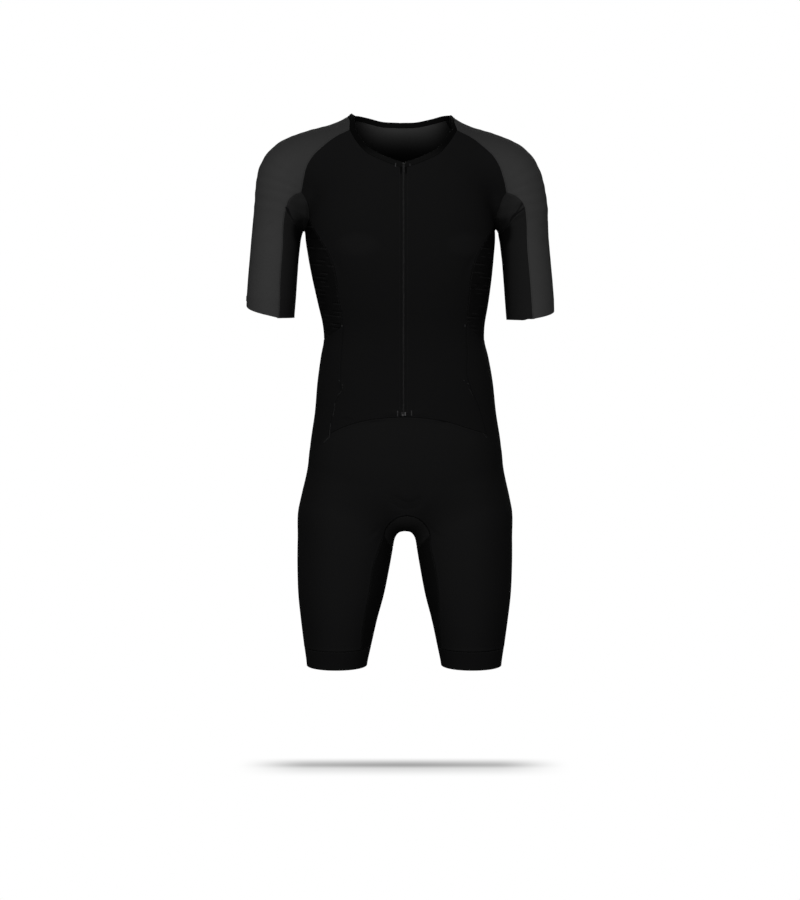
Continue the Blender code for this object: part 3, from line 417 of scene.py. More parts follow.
    def smooth_line(self, knots: Array, count: int) -> Array:
        """A seam through knots, laid on the form in even steps with its ends kept."""
        run = run_of(knots)
        line = hermite(knots, np.linspace(0, run[-1], max(3 * count, 60) + 1), run)
        line = self.settle(spaced(self.settle(line, 5), count), 4)
        line[0], line[-1] = knots[0], knots[-1]
        return line

    def mark(self, x: float, z: float, to_x: float, to_z: float, count: int = 12) -> Array:
        """A short line on the front between two places."""
        ends = self.sight(np.array([x, to_x]), np.array([z, to_z]), Face.FRONT)
        return self.smooth_line(ends, count)

    def arc(self, start: Array, end: Array, middle: tuple[float, float], count: int) -> Array:
        """A line round an upright axis.

        The angle and the reach from the axis both change evenly from one end to the other.

        Args:
            start: First point.
            end: Last point.
            middle: The axis, x and y.
            count: Steps.

        Returns:
            The line on the form.
        """
        a, b = start[:2] - middle, end[:2] - middle
        first = math.atan2(a[1], a[0])
        swing = (math.atan2(b[1], b[0]) - first + math.pi) % (2 * math.pi) - math.pi
        t = np.linspace(0, 1, 2 * count + 1)
        reach = np.linalg.norm(a) * (1 - t) + np.linalg.norm(b) * t
        turn = first + swing * t
        flat = np.stack([middle[0] + reach * np.cos(turn), middle[1] + reach * np.sin(turn)], 1)
        line = np.column_stack([flat, start[2] * (1 - t) + end[2] * t])
        line[1:-1] = self.settle(line[1:-1])
        line[1:-1, 2] = (start[2] * (1 - t) + end[2] * t)[1:-1]
        line = spaced(line, count)
        line[1:-1] = self.settle(line[1:-1], 3)
        return line


FORM = Figure()


# ---- seam lines seen from the front or the back: out from the middle line, height, and how far
# the pair of them stands to +X ----
SEEN = {name: table("out height shift", text) for name, text in {
    "raglan": """
        0.0865 -0.031 0.0, 0.109 -0.0425 0.0, 0.13 -0.059 0.0, 0.1445 -0.0735 0.0, 0.154 -0.0895 0.0,
        0.159 -0.1055 0.0005, 0.163 -0.124 0.001, 0.1645 -0.131 0.001""",
    "cap": """
        0.1645 -0.131 0.001, 0.178 -0.137 0.002, 0.186 -0.144 0.003, 0.1915 -0.155 0.004""",
    "under": """
        0.1915 -0.155 0.004, 0.194 -0.17 0.0035, 0.1965 -0.218 0.003, 0.201 -0.276 0.0035,
        0.204 -0.327 0.0045""",
    "edge": """
        0.1645 -0.131 0.001, 0.1585 -0.14 0.001, 0.155 -0.15 0.001, 0.153 -0.161 0.001,
        0.153 -0.1725 0.001""",
    "mesh": """
        0.153 -0.1725 0.001, 0.1305 -0.209 0.0, 0.115 -0.237 0.0, 0.1075 -0.265 0.0,
        0.104 -0.297 0.0005, 0.1005 -0.325 0.0015, 0.1 -0.345 0.0025""",
    "hip": """
        0.1 -0.345 0.0025, 0.1015 -0.385 0.0015, 0.1025 -0.429 0.001, 0.1055 -0.448 0.0045,
        0.115 -0.469 0.0045, 0.1245 -0.504 0.006, 0.1285 -0.52 0.007""",
    "waist": """
        0.0 -0.489 0.0, 0.0305 -0.491 0.0, 0.0695 -0.4975 0.0, 0.1005 -0.508 0.001, 0.1285 -0.52 0.007""",
    "arch": """
        0.0 -0.649 0.0055, 0.0135 -0.652 0.0055, 0.0255 -0.6605 0.0055, 0.0335 -0.671 0.0055,
        0.0375 -0.683 0.006""",
    "thigh": """
        0.0375 -0.683 0.006, 0.0405 -0.695 0.0035, 0.0505 -0.733 0.001, 0.0555 -0.767 0.001,
        0.0595 -0.8 -0.001, 0.063 -0.835 -0.0035, 0.0665 -0.873 -0.003""",
    "raglan_back": """
        0.0785 -0.01 0.0, 0.099 -0.038 0.0, 0.119 -0.06 0.0, 0.137 -0.086 0.0, 0.15 -0.113 0.0,
        0.158 -0.134 0.0""",
    "cap_back": """
        0.158 -0.134 0.0, 0.169 -0.14 0.0, 0.178 -0.148 0.0, 0.184 -0.158 0.0""",
    "under_back": """
        0.184 -0.158 0.0, 0.1875 -0.19 0.0, 0.1915 -0.24 0.0, 0.1965 -0.29 0.0, 0.199 -0.328 0.0""",
    "edge_back": """
        0.158 -0.134 0.0, 0.153 -0.146 0.0, 0.15 -0.158 0.0, 0.149 -0.1725 0.0""",
    "mesh_back": """
        0.149 -0.1725 0.0, 0.13 -0.209 0.0, 0.114 -0.237 0.0, 0.106 -0.265 0.0, 0.102 -0.297 0.0,
        0.099 -0.325 0.0, 0.098 -0.349 0.0""",
    "hip_back": """
        0.098 -0.349 0.0, 0.1 -0.39 0.0, 0.106 -0.43 0.0, 0.115 -0.47 0.0, 0.123 -0.51 0.0,
        0.127 -0.549 0.0""",
    "arch_back": """
        0.0 -0.656 0.0, 0.013 -0.659 0.0, 0.025 -0.668 0.0, 0.033 -0.679 0.0, 0.0365 -0.691 0.0""",
    "thigh_back": """
        0.0365 -0.691 0.0, 0.047 -0.73 0.0, 0.0545 -0.78 0.0, 0.06 -0.83 0.0, 0.0665 -0.873 0.0""",
}.items()}
# ---- seam lines that run round a side, as guides in space: out, fore and height ----
GUIDES = {name: table("out fore height", text) for name, text in {
    "neck": """
        0.02 -0.088 -0.088, 0.039 -0.084 -0.0795, 0.058 -0.077 -0.069, 0.075 -0.063 -0.05""",
    "shoulder": """
        0.085 -0.02 -0.015, 0.086 0.002 -0.011, 0.0838 0.022 -0.0115""",
    "ridge": """
        0.086 0.002 -0.011, 0.11 0.006 -0.028, 0.135 0.006 -0.038, 0.165 0.005 -0.05,
        0.195 0.004 -0.072, 0.215 0.003 -0.11, 0.229 0.001 -0.165, 0.24 -0.001 -0.24, 0.247 -0.004 -0.32""",
    "trunk_pit": """
        0.152 -0.03 -0.185, 0.1515 0.0 -0.192, 0.151 0.03 -0.186""",
    "arm_pit": """
        0.18 -0.052 -0.168, 0.172 -0.033 -0.182, 0.169 0.0 -0.192, 0.171 0.033 -0.184, 0.178 0.05 -0.17""",
    "mesh_foot": """
        0.113 -0.058 -0.3555, 0.125 -0.033 -0.3645, 0.131 0.0 -0.369, 0.123 0.035 -0.364""",
    "waist_side": """
        0.138 -0.05 -0.533, 0.149 -0.026 -0.545, 0.154 0.003 -0.55""",
    "waist_hip": """
        0.152 0.035 -0.551, 0.143 0.062 -0.55""",
    "leg_side": """
        0.17 0.006 -0.61, 0.177 0.006 -0.68, 0.1765 0.004 -0.75, 0.1715 0.002 -0.82, 0.1655 0.0 -0.873""",
    "crotch": """
        0.032 -0.03 -0.701, 0.028 0.0 -0.708, 0.031 0.032 -0.705""",
    "nape": """
        0.03 0.074 -0.019, 0.058 0.06 -0.0136""",
}.items()}


class SeamPlan:
    """Every seam line of one side of the suit, as fine lines on the form."""

    def __init__(self, side: Side) -> None:
        """Lays out the side's seams.

        Args:
            side: The wearer's side.
        """
        self.side = side
        self.lay_trunk()
        self.lay_sleeve()
        self.lay_back()
        self.lay_leg()

    def seen(self, name: str, face: Face = Face.FRONT) -> Array:
        """A seam table's rows as points on a face of the form."""
        rows = SEEN[name]
        x = FORM.mid_x(rows["height"], face) + rows["shift"] + self.side.value * rows["out"]
        points = FORM.sight(x, rows["height"], face)
        if name.startswith("under"):
            points[-1, 2] = self.hem_height(points[-1, 0])
        return points

    def line(self, name: str, count: int, face: Face = Face.FRONT) -> Array:
        """A seam of a face as a smooth line."""
        return FORM.smooth_line(self.seen(name, face), count)

    def round_line(self, parts: list[Array | str], count: int) -> Array:
        """A smooth line through points and named guides in turn."""
        knots = [FORM.guided(GUIDES[p], self.side) if isinstance(p, str) else p for p in parts]
        return FORM.smooth_line(np.vstack(knots), count)

    @staticmethod
    def hem_height(x: float) -> float:
        """Height of the sleeve's hem at this distance out."""
        return SLEEVE_HEM - SLEEVE_PULL * (x > 0) + SLEEVE_RISE * (abs(x) - 0.208)

    def lay_trunk(self) -> None:
        """Seams of the front, the armpit and the side."""
        front, back = Face.FRONT, Face.BACK
        x = FRONT_MID + self.side.value * (CHAIN_HALF + 0.00015)
        heights = np.linspace(NECK_FRONT, WAIST_FRONT, N_RAGLAN + N_EDGE + N_MESH + N_HIP + 1)
        self.zip = FORM.sight(np.full_like(heights, x), heights, front)
        for name, count in (
            ("raglan", N_RAGLAN), ("cap", N_EDGE), ("under", N_UNDER), ("edge", N_EDGE),
            ("mesh", N_MESH), ("hip", N_HIP),
        ):
            setattr(self, name, self.line(name, count, front))
            setattr(self, name + "_back", self.line(name + "_back", count, back))
        waist = self.seen("waist")
        self.waist = FORM.smooth_line(waist, N_NECK)
        self.waist_cut = FORM.smooth_line(np.vstack([self.zip[-1:], waist[1:]]), N_NECK)
        self.pit = self.round_line([self.edge[-1:], "trunk_pit", self.edge_back[-1:]], N_ROUND)
        self.arm_pit = self.round_line([self.cap[-1:], "arm_pit", self.cap_back[-1:]], N_ROUND)
        self.mesh_foot = self.round_line(
            [self.mesh[-1:], "mesh_foot", self.mesh_back[-1:]], N_ROUND
        )
        outer = FORM.guided(GUIDES["waist_side"], self.side)[-1:]
        self.waist_fore = self.round_line([self.hip[-1:], "waist_side"], N_ROUND // 2)
        self.waist_aft = self.round_line([outer, "waist_hip", self.hip_back[-1:]], N_ROUND // 2)

    def lay_sleeve(self) -> None:
        """Seams of the neck over the sleeve, the sleeve's ridge line and its hem."""
        shoulder = FORM.guided(GUIDES["shoulder"], self.side)
        ridge = FORM.guided(GUIDES["ridge"], self.side)
        ridge[-1, 2] = self.hem_height(ridge[-1, 0])
        ridge[0] = shoulder[1]
        self.neck = self.round_line([self.zip[:1], "neck", self.raglan[:1]], N_NECK)
        self.neck_fore = self.round_line([self.raglan[:1], shoulder[:2]], N_SLEEVE)
        self.neck_aft = self.round_line([shoulder[1:], self.raglan_back[:1]], N_SLEEVE)
        self.ridge = FORM.smooth_line(ridge, N_RAGLAN + N_EDGE + N_UNDER)
        sign = self.side.value
        shift = float(FORM.read(FORM.sway, "shift", -0.33))
        arm = (shift - 0.0045 + sign * 0.211, sign * 0.0105 - 0.005)
        self.hem_fore = FORM.arc(self.under[-1], self.ridge[-1], arm, N_SLEEVE)
        self.hem_aft = FORM.arc(self.ridge[-1], self.under_back[-1], arm, N_SLEEVE)
        self.hem_under = FORM.arc(self.under[-1], self.under_back[-1], arm, N_ROUND)

    def lay_back(self) -> None:
        """Seams across the back: the nape, the yoke's foot and the waist."""
        sign, back = self.side.value, Face.BACK
        x = np.array([0.045, 0.09])
        z = np.array([WAIST_BACK - 0.001, WAIST_BACK - 0.004])
        top = np.array([WAIST_BACK])
        middle = FORM.sight(FORM.mid_x(top, back), top, back)
        hollow = FORM.sight(FORM.mid_x(z, back) + sign * x, z, back)
        self.waist_back = self.round_line([middle, hollow, self.hip_back[-1:]], N_BACK)
        top = np.array([YOKE_BACK])
        z = np.array([YOKE_BACK + 0.001, YOKE_BACK + 0.008])
        middle = FORM.sight(FORM.mid_x(top, back), top, back)
        yoke = FORM.sight(FORM.mid_x(z, back) + sign * x, z, back)
        self.yoke = self.round_line(
            [middle, yoke, self.raglan_back[N_YOKE:N_YOKE + 1]], N_BACK
        )
        middle = FORM.settle(np.array([[FORM.mid_x(np.zeros(1), back)[0], 0.077, -0.0205]]))
        self.nape = self.round_line([middle, "nape", self.raglan_back[:1]], N_BACK)

    def lay_leg(self) -> None:
        """Seams of the shorts' middle, the crotch, the inner thigh and the leg band."""
        front, back = Face.FRONT, Face.BACK
        self.arch, self.arch_back = self.line("arch", N_ARCH), self.line("arch_back", N_ARCH, back)
        self.thigh = self.line("thigh", N_THIGH)
        self.thigh_back = self.line("thigh_back", N_THIGH, back)
        outer = FORM.guided(GUIDES["leg_side"], self.side)
        outer[-1, 2] = LEG_SEAM
        rows = N_RISE + N_ARCH + N_THIGH
        self.leg_side = FORM.smooth_line(np.vstack([self.waist_fore[-1:], outer]), rows)
        self.crotch = self.round_line([self.arch[-1:], "crotch", self.arch_back[-1:]], N_ROUND)
        shift = float(FORM.read(FORM.sway, "shift", LEG_SEAM))
        leg = (shift + self.side.value * 0.1095, 0.0)
        end, end_back, side_end = self.thigh[-1], self.thigh_back[-1], self.leg_side[-1]
        self.band_fore = FORM.arc(end, side_end, leg, N_NECK + N_ROUND // 2)
        self.band_aft = FORM.arc(side_end, end_back, leg, N_BACK + N_ROUND // 2)
        self.band_inner = FORM.arc(end, end_back, leg, N_ROUND)
        z = np.linspace(WAIST_FRONT, SEEN["arch"]["height"][0], N_RISE + 1)
        lean = np.linspace(0.0, SEEN["arch"]["shift"][0], N_RISE + 1)
        self.middle = FORM.sight(FRONT_MID + lean, z, front)
        z = np.linspace(WAIST_BACK, SEEN["arch_back"]["height"][0], N_RISE + 1)
        self.middle_back = FORM.sight(FORM.mid_x(z, back), z, back)
        self.middle[0], self.middle[-1] = self.waist[0], self.arch[0]
        self.middle_back[0], self.middle_back[-1] = self.waist_back[0], self.arch_back[0]


def graded(line: Array) -> Array:
    """Shares of the way along a line, one for each of its points and a few more near each end."""
    last = len(line) - 1
    at = np.arange(last + 1, dtype=float)
    return np.unique(np.concatenate([at, EDGE_SHARES, last - np.array(EDGE_SHARES)])) / last


def lerp_rows(grid: Array, rows: Array, cols: Array) -> Array:
    """A grid read between its points, bicubic by Catmull-Rom weights.

    Args:
        grid: The points, rows by columns by 3.
        rows: Rows wanted, as fractions.
        cols: Columns wanted, as fractions.

    Returns:
        The points there.
    """
    def weights(t: Array) -> list[Array]:
        """Weights of the four neighbours at a share of the way between the middle two."""
        return [
            (-t + 2 * t * t - t**3) / 2, (2 - 5 * t * t + 3 * t**3) / 2,
            (t + 4 * t * t - 3 * t**3) / 2, (t**3 - t * t) / 2,
        ]

    padded = np.pad(grid, ((1, 1), (1, 1), (0, 0)), mode="edge")
    padded[0] = 2 * padded[1] - padded[2]
    padded[-1] = 2 * padded[-2] - padded[-3]
    padded[:, 0] = 2 * padded[:, 1] - padded[:, 2]
    padded[:, -1] = 2 * padded[:, -2] - padded[:, -3]
    i = np.minimum(rows.astype(int), grid.shape[0] - 2)
    j = np.minimum(cols.astype(int), grid.shape[1] - 2)
    down = sum(w[:, None, None] * padded[i + k] for k, w in enumerate(weights(rows - i)))
    return sum(w[None, :, None] * down[:, j + k] for k, w in enumerate(weights(cols - j)))


def at_share(line: Array, share: Array) -> Array:
    """A line's points at shares of the way along it, counted in its own steps."""
    return read_line(line, np.arange(len(line)), share * (len(line) - 1))


def coons(top: Array, foot: Array, first: Array, last: Array, u: Array, v: Array) -> Array:
    """A grid between four lines: both ruled surfaces added, less the one through the corners."""
    u, v = u[None, :, None], v[:, None, None]
    corners = (1 - v) * ((1 - u) * top[0] + u * top[-1]) + v * ((1 - u) * foot[0] + u * foot[-1])
    return (1 - v) * top[None] + v * foot[None] + (1 - u) * first[:, None] + u * last[:, None] - corners


def patch(top: Array, foot: Array, first: Array, last: Array) -> Array:
    """A cut piece's grid on the form, between four fine seam lines.

    A coarse Coons grid is relaxed on the form (each inner point drawn halfway to the mean of its
    four neighbours, then settled). The fine grid reads it bicubically, takes up what the fine lines
    add along its borders, fading out over two coarse steps, and is settled again.

    Args:
        top: Line across the head.
        foot: Line across the foot.
        first: Line down the first edge.
        last: Line down the last edge.

    Returns:
        The points, rows by columns by 3.
    """
    step = FINE
    ends = [line[::step] for line in (top, foot, first, last)]
    u, v = np.linspace(0, 1, len(ends[0])), np.linspace(0, 1, len(ends[2]))
    grid = coons(*ends, u, v)
    grid[1:-1, 1:-1] = FORM.settle(grid[1:-1, 1:-1])
    for _ in range(RELAX_ROUNDS):
        inner = (grid[:-2, 1:-1] + grid[2:, 1:-1] + grid[1:-1, :-2] + grid[1:-1, 2:]) / 4
        grid[1:-1, 1:-1] = FORM.settle((inner + grid[1:-1, 1:-1]) / 2, 2)
    grid[0], grid[-1], grid[:, 0], grid[:, -1] = ends
    u, v = graded(top), graded(first)
    fine = lerp_rows(grid, v * (len(grid) - 1), u * (grid.shape[1] - 1))
    lines = [at_share(line, s) for line, s in ((top, u), (foot, u), (first, v), (last, v))]
    top, foot, first, last = (
        a - b for a, b in zip(lines, (fine[0], fine[-1], fine[:, 0], fine[:, -1]))
    )
    (head, end), (start, close) = (
        (1 - smoothstep(0, 2 / n, s), smoothstep(1 - 2 / n, 1, s))
        for s, n in ((v, len(grid)), (u, grid.shape[1]))
    )
    fine = fine + head[:, None, None] * top + end[:, None, None] * foot
    fine = fine + start[None, :, None] * first[:, None] + close[None, :, None] * last[:, None]
    fine = FORM.settle(fine, 3)
    fine[0], fine[-1], fine[:, 0], fine[:, -1] = lines
    return fine


class CreaseKind(Enum):
    """Shape of a crease across its line."""

    TROUGH = "trough"
    RIDGE = "ridge"
    FOLD = "fold"


@dataclass(frozen=True)
class Crease:
    """A soft uneven crease laid along a line on the form."""

    points: tuple[tuple[float, float], ...]
    width: float
    depth: float
    kind: CreaseKind = CreaseKind.TROUGH
    face: Face = Face.FRONT

    @cache
    def line(self) -> Array:
        """The crease's line on the form."""
        knots = np.array(self.points)
        return FORM.smooth_line(FORM.sight(knots[:, 0], knots[:, 1], self.face), CREASE_STEPS)

    def rise(self, points: Array) -> Array:
        """How far the crease lifts the cloth at each point.

        Across its line a trough is minus a bell curve, a ridge is a bell curve, and a fold is a
        trough beside a ridge of half its height. Along the line the depth swells as a sine
        to the power 0.6 and wavers a little.

        Args:
            points: Points of the cloth.

        Returns:
            Lift along the outward direction, in metres.
        """
        line = self.line()
        low, high = line.min(0) - 3 * self.width, line.max(0) + 3 * self.width
        near = np.flatnonzero(((points > low) & (points < high)).all(1))
        out = np.zeros(len(points))
        if not len(near):
            return out
        gaps = points[near, None] - line[None]
        away = (gaps**2).sum(2)
        at = away.argmin(1)
        share = at / (len(line) - 1)
        ways = np.gradient(line, axis=0)
        ways /= np.linalg.norm(ways, axis=1, keepdims=True)
        offset = gaps[np.arange(len(near)), at]
        past = (offset * ways[at]).sum(1)
        reach = np.sqrt(np.maximum((offset**2).sum(1) - past**2, 0) + past**2 * (away.min(1) > 0))
        bell = np.exp(-((reach / (self.width / 2)) ** 2))
        swell = np.sin(np.pi * np.clip(share * 0.94 + 0.03, 0, 1)) ** 0.6
        swell *= 1 + 0.18 * np.sin(9.0 * share + 40 * self.points[0][0])
        if self.kind is CreaseKind.RIDGE:
            profile = bell
        elif self.kind is CreaseKind.TROUGH:
            profile = -bell
        else:
            across = np.cross(FORM.outward(line[at])[0], ways[at])
            hand = (offset * across).sum(1) / self.width
            profile = -bell + 0.6 * np.exp(-(((hand - 0.9) / 0.55) ** 2))
        out[near] = self.depth * swell * profile
        return out


def mirrored(*creases: Crease) -> tuple[Crease, ...]:
    """The creases and their likes on the other side of the middle."""
    others = [
        Crease(
            tuple((2 * FRONT_MID - x, z - 0.003) for x, z in c.points), c.width * 1.1,
            c.depth * 0.85, c.kind, c.face,
        )
        for c in creases
    ]
    return (*creases, *others)


def on_back(*rows: tuple) -> tuple[Crease, ...]:
    """Creases of the back, each given as its points, width and depth, on both sides."""
    return mirrored(*(Crease(p, w, d, CreaseKind.FOLD, Face.BACK) for p, w, d in rows))


@dataclass
class Skin:
    """A sheet as points on the form, its quads facing out, and each corner's place on the cloth."""

    points: Array
    quads: Array
    corner_uv: Array

    @staticmethod
    def measure(grid: Array, ring: bool, mirror: bool, middle: bool) -> Array:
        """Places on the cloth of a grid's points.

        Across is the length walked along each row, down the mean length walked down the
        columns at that row and the column's own, half each.

        Args:
            grid: The sheet's points, rows by columns.
            ring: Whether its rows close on themselves.
            mirror: Whether the across coordinate runs the other way.
            middle: Whether it is counted from the middle column and not the first.

        Returns:
            The places, rows by columns by 2.
        """
        loop = np.concatenate([grid, grid[:, :1]], 1) if ring else grid
        across = np.cumsum(np.linalg.norm(np.diff(loop, axis=1), axis=2), axis=1)
        across = np.concatenate([np.zeros((len(loop), 1)), across], 1)
        if middle:
            across = across - across[:, across.shape[1] // 2][:, None]
        down = np.cumsum(np.linalg.norm(np.diff(loop, axis=0), axis=2), axis=0)
        down = np.concatenate([np.zeros((1, loop.shape[1])), down], 0)
        down = (down + down.mean(1, keepdims=True)) / 2
        return np.stack([-across if mirror else across, -down], -1)

    @classmethod
    def sew(cls, grids: list[Array], ring: bool = False, middle: bool = False) -> Skin:
        """One sheet from several grids: points that coincide are made one.

        Args:
            grids: The grids; the second of two runs the other way across from their shared line.
            ring: Whether their rows close on themselves.
            middle: Whether a single grid's cloth is measured from its middle column.

        Returns:
            The sheet.
        """
        quads, places, start = [], [], 0
        for number, grid in enumerate(grids):
            rows, cols = grid.shape[:2]
            at = np.arange(rows * cols).reshape(rows, cols) + start
            at = np.column_stack([at, at[:, 0]]) if ring else at
            uv = cls.measure(grid, ring, number == 1, middle)
            four = [(slice(None, -1), slice(None, -1)), (slice(1, None), slice(None, -1)),
                    (slice(1, None), slice(1, None)), (slice(None, -1), slice(1, None))]
            corner = np.stack([at[k] for k in four], -1).reshape(-1, 4)
            place = np.stack([uv[k] for k in four], -2).reshape(-1, 4, 2)
            flat = grid.reshape(-1, 3)
            a, b, c, d = (flat[corner[:, k] - start] for k in range(4))
            facing = (np.cross(c - a, d - b) * FORM.outward((a + c) / 2)[0]).sum()
            quads.append(corner if facing > 0 else corner[:, ::-1])
            places.append(place if facing > 0 else place[:, ::-1])
            start += rows * cols
        points = np.concatenate([grid.reshape(-1, 3) for grid in grids])
        _, first, index = np.unique(
            np.round(points, 7), axis=0, return_index=True, return_inverse=True
        )
        return cls(points[first], index.reshape(-1)[np.concatenate(quads)], np.concatenate(places))

    def rim(self) -> Array:
        """The border as directed edges, the sheet on their left."""
        ends = np.concatenate([self.quads[:, [k, (k + 1) % 4]] for k in range(4)])
        size = len(self.points)
        forward = ends[:, 0] * size + ends[:, 1]
        backward = ends[:, 1] * size + ends[:, 0]
        return ends[~np.isin(forward, backward)]

    def drawn_in(self, gap: float) -> Array:
        """The points with the border moved inwards, at right angles to its edges.

        Args:
            gap: How far it moves.

        Returns:
            The points.
        """
        rim = self.rim()
        way, _ = FORM.outward(self.points)
        run = self.points[rim[:, 1]] - self.points[rim[:, 0]]
        run /= np.linalg.norm(run, axis=1, keepdims=True)
        total = np.zeros_like(self.points)
        for end in (0, 1):
            inner = np.cross(way[rim[:, end]], run)
            inner /= np.linalg.norm(inner, axis=1, keepdims=True)
            np.add.at(total, rim[:, end], inner)
        share = 2 / np.maximum((total**2).sum(1), 1.0)
        return self.points + total * (share * gap / 2)[:, None]

    def area(self) -> float:
        """Area of the sheet, one side."""
        a, b, c, d = (self.points[self.quads[:, k]] for k in range(4))
        return float(np.linalg.norm(np.cross(c - a, d - b), axis=1).sum() / 2)


def away_from(points: Array, line: Array, limit: float) -> Array:
    """Distance of points from a line of spots, no more than a limit.

    Args:
        points: The points.
        line: The spots.
        limit: The limit.

    Returns:
        The distances.
    """
    out = np.full(len(points), limit)
    low, high = line.min(0) - limit, line.max(0) + limit
    near = np.flatnonzero(((points > low) & (points < high)).all(1))
    for some in np.array_split(near, max(1, len(near) // 3000)):
        if len(some):
            gaps = np.linalg.norm(points[some, None] - line[None], axis=2).min(1)
            out[some] = np.minimum(gaps, limit)
    return out


def put_mesh(name: str, points: Array, faces: Array | list, smooth: bool = True) -> bpy.types.Object:
    """A mesh object at the origin.

    Args:
        name: Its name.
        points: Its points.
        faces: Its faces as rows of point numbers.
        smooth: Whether its faces are shaded as one surface.

    Returns:
        The object, in the scene.
    """
    mesh = bpy.data.meshes.new(name)
    rows = faces.tolist() if isinstance(faces, np.ndarray) else faces
    mesh.from_pydata(points.tolist(), [], rows)
    mesh.polygons.foreach_set("use_smooth", np.full(len(mesh.polygons), smooth))
    mesh.update()
    thing = bpy.data.objects.new(name, mesh)
    bpy.context.scene.collection.objects.link(thing)
    return thing


def put_uv(thing: bpy.types.Object, places: Array) -> None:
    """Gives each corner of a mesh its place on the cloth, as the map named cloth."""
    layer = thing.data.uv_layers.new(name="cloth")
    layer.data.foreach_set("uv", np.ascontiguousarray(places, np.float32).reshape(-1))


@dataclass(frozen=True)
class Relief:
    """What stands on the smooth form: the dip along the sewn edges and the listed creases."""

    creases: tuple[Crease, ...]
    groove: float = 0.00055
    reach: float = 0.0026

    def at(self, points: Array, off_seam: Array | float) -> Array:
        """Lift of the cloth: creases, less the groove eased out over its reach.

        Args:
            points: Points on the form.
            off_seam: Their distance from the nearest sewn edge.

        Returns:
            Lift along the outward direction.
        """
        dip = self.groove * (1 - smoothstep(0.0, self.reach, off_seam))
        return sum((c.rise(points) for c in self.creases), np.zeros(len(points))) - dip


@dataclass
class Panel:
    """One cut piece of cloth, with a real wall and its edges sewn or hemmed."""

    name: str
    grids: list[Array]
    finish: Finish
    relief: Relief
    hems: tuple[Array, ...] = ()
    wall: float = WALL
    lift: float = 0.0
    ring: bool = False
    middle: bool = False
    inset: float = SEAM_INSET
    ease: tuple[float, float] = (0.94, 0.97)  # flat width and length for each worn one
    roll: float = 0.0  # how much proud the sewn head edge stands, in metres
    inside: Finish | None = None  # finish of the inner face, where it differs
    cut: tuple[float, float, float] = (0.0, 0.0, 0.0)

    def build(self) -> bpy.types.Object:
        """Makes the piece: outer face with its relief, inner face, and the rim between them.

        The wall is the outer face moved inwards along the form's outward direction.

        Returns:
            The finished object, put in place of its solid.
        """
        skin = Skin.sew(self.grids, self.ring, self.middle)
        rim = skin.rim()
        edge = skin.points[rim[:, 0]]
        sewn = np.ones(len(edge), bool)
        for hem in self.hems:
            sewn &= away_from(edge, hem, 0.002) > 0.0012
        off = away_from(skin.points, edge[sewn], 0.006) if sewn.any() else 0.006
        points = FORM.settle(skin.drawn_in(self.inset), 1)
        way, _ = FORM.outward(points)
        rise = self.relief.at(points, off)
        if self.roll:
            rise += self.roll * (1 - smoothstep(0.0006, 0.004, off))
        outer = points + (self.lift + rise)[:, None] * way
        behind = self.lift + 0.8 * np.maximum(rise, -0.3 * self.wall) - self.wall
        inner = points + behind[:, None] * way
        n = len(points)
        a, b = rim[:, 0], rim[:, 1]
        sides = np.stack([b, a, a + n, b + n], 1)
        faces = np.concatenate([skin.quads, skin.quads[:, ::-1] + n, sides])
        thing = put_mesh(f"{self.name}_cloth", np.vstack([outer, inner]), faces)
        spot = np.zeros((n, 2))
        spot[skin.quads] = skin.corner_uv
        sides_uv = spot[np.stack([b, a, a, b], 1)]
        put_uv(thing, np.concatenate([skin.corner_uv, skin.corner_uv[:, ::-1], sides_uv]))
        self.sharpen(thing, rim, n)
        self.finish.dress(thing)
        if self.inside:
            thing.data.materials.append(self.inside.made())
            count = len(skin.quads)
            thing.data.polygons.foreach_set("material_index", np.arange(len(faces)) // count == 1)
        self.declare(thing, skin)
        return thing

    @staticmethod
    def sharpen(thing: bpy.types.Object, rim: Array, n: int) -> None:
        """Marks both borders of the rim as sharp edges.

        Args:
            thing: The panel.
            rim: The border's directed edges on the outer face.
            n: Number of points of the outer face.
        """
        ends = np.zeros(len(thing.data.edges) * 2, np.int32)
        thing.data.edges.foreach_get("vertices", ends)
        ends = np.sort(ends.reshape(-1, 2), 1).astype(np.int64)
        both = np.sort(np.concatenate([rim, rim + n]), 1)
        keys = both[:, 0] * (4 * n) + both[:, 1]
        sharp = np.isin(ends[:, 0] * (4 * n) + ends[:, 1], keys)
        thing.data.edges.foreach_set("use_edge_sharp", sharp)

    def declare(self, thing: bpy.types.Object, skin: Skin) -> None:
        """Sets the piece's body, works out and logs its flat cut, and hides the solid it stands for.

        Args:
            thing: The panel.
            skin: Its sheet.
        """
        across = sum(np.linalg.norm(np.diff(g, axis=1), axis=2).sum(1).max() for g in self.grids)
        if self.ring:
            grid = self.grids[0]
            across += float(np.linalg.norm(grid[:, 0] - grid[:, -1], axis=1).max())
        down = max(np.linalg.norm(np.diff(g, axis=0), axis=2).sum(0).mean() for g in self.grids)
        wide, long = round(across * self.ease[0], 3), round(down * self.ease[1], 3)
        area = min(skin.area() * self.ease[0] * self.ease[1], wide * long)
        self.cut = (wide, long, area)
        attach(thing, "suit")
        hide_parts(self.name)
        LOG.info("%s: flat %.3f x %.3f m, %.4f m2", self.name, wide, long, area)


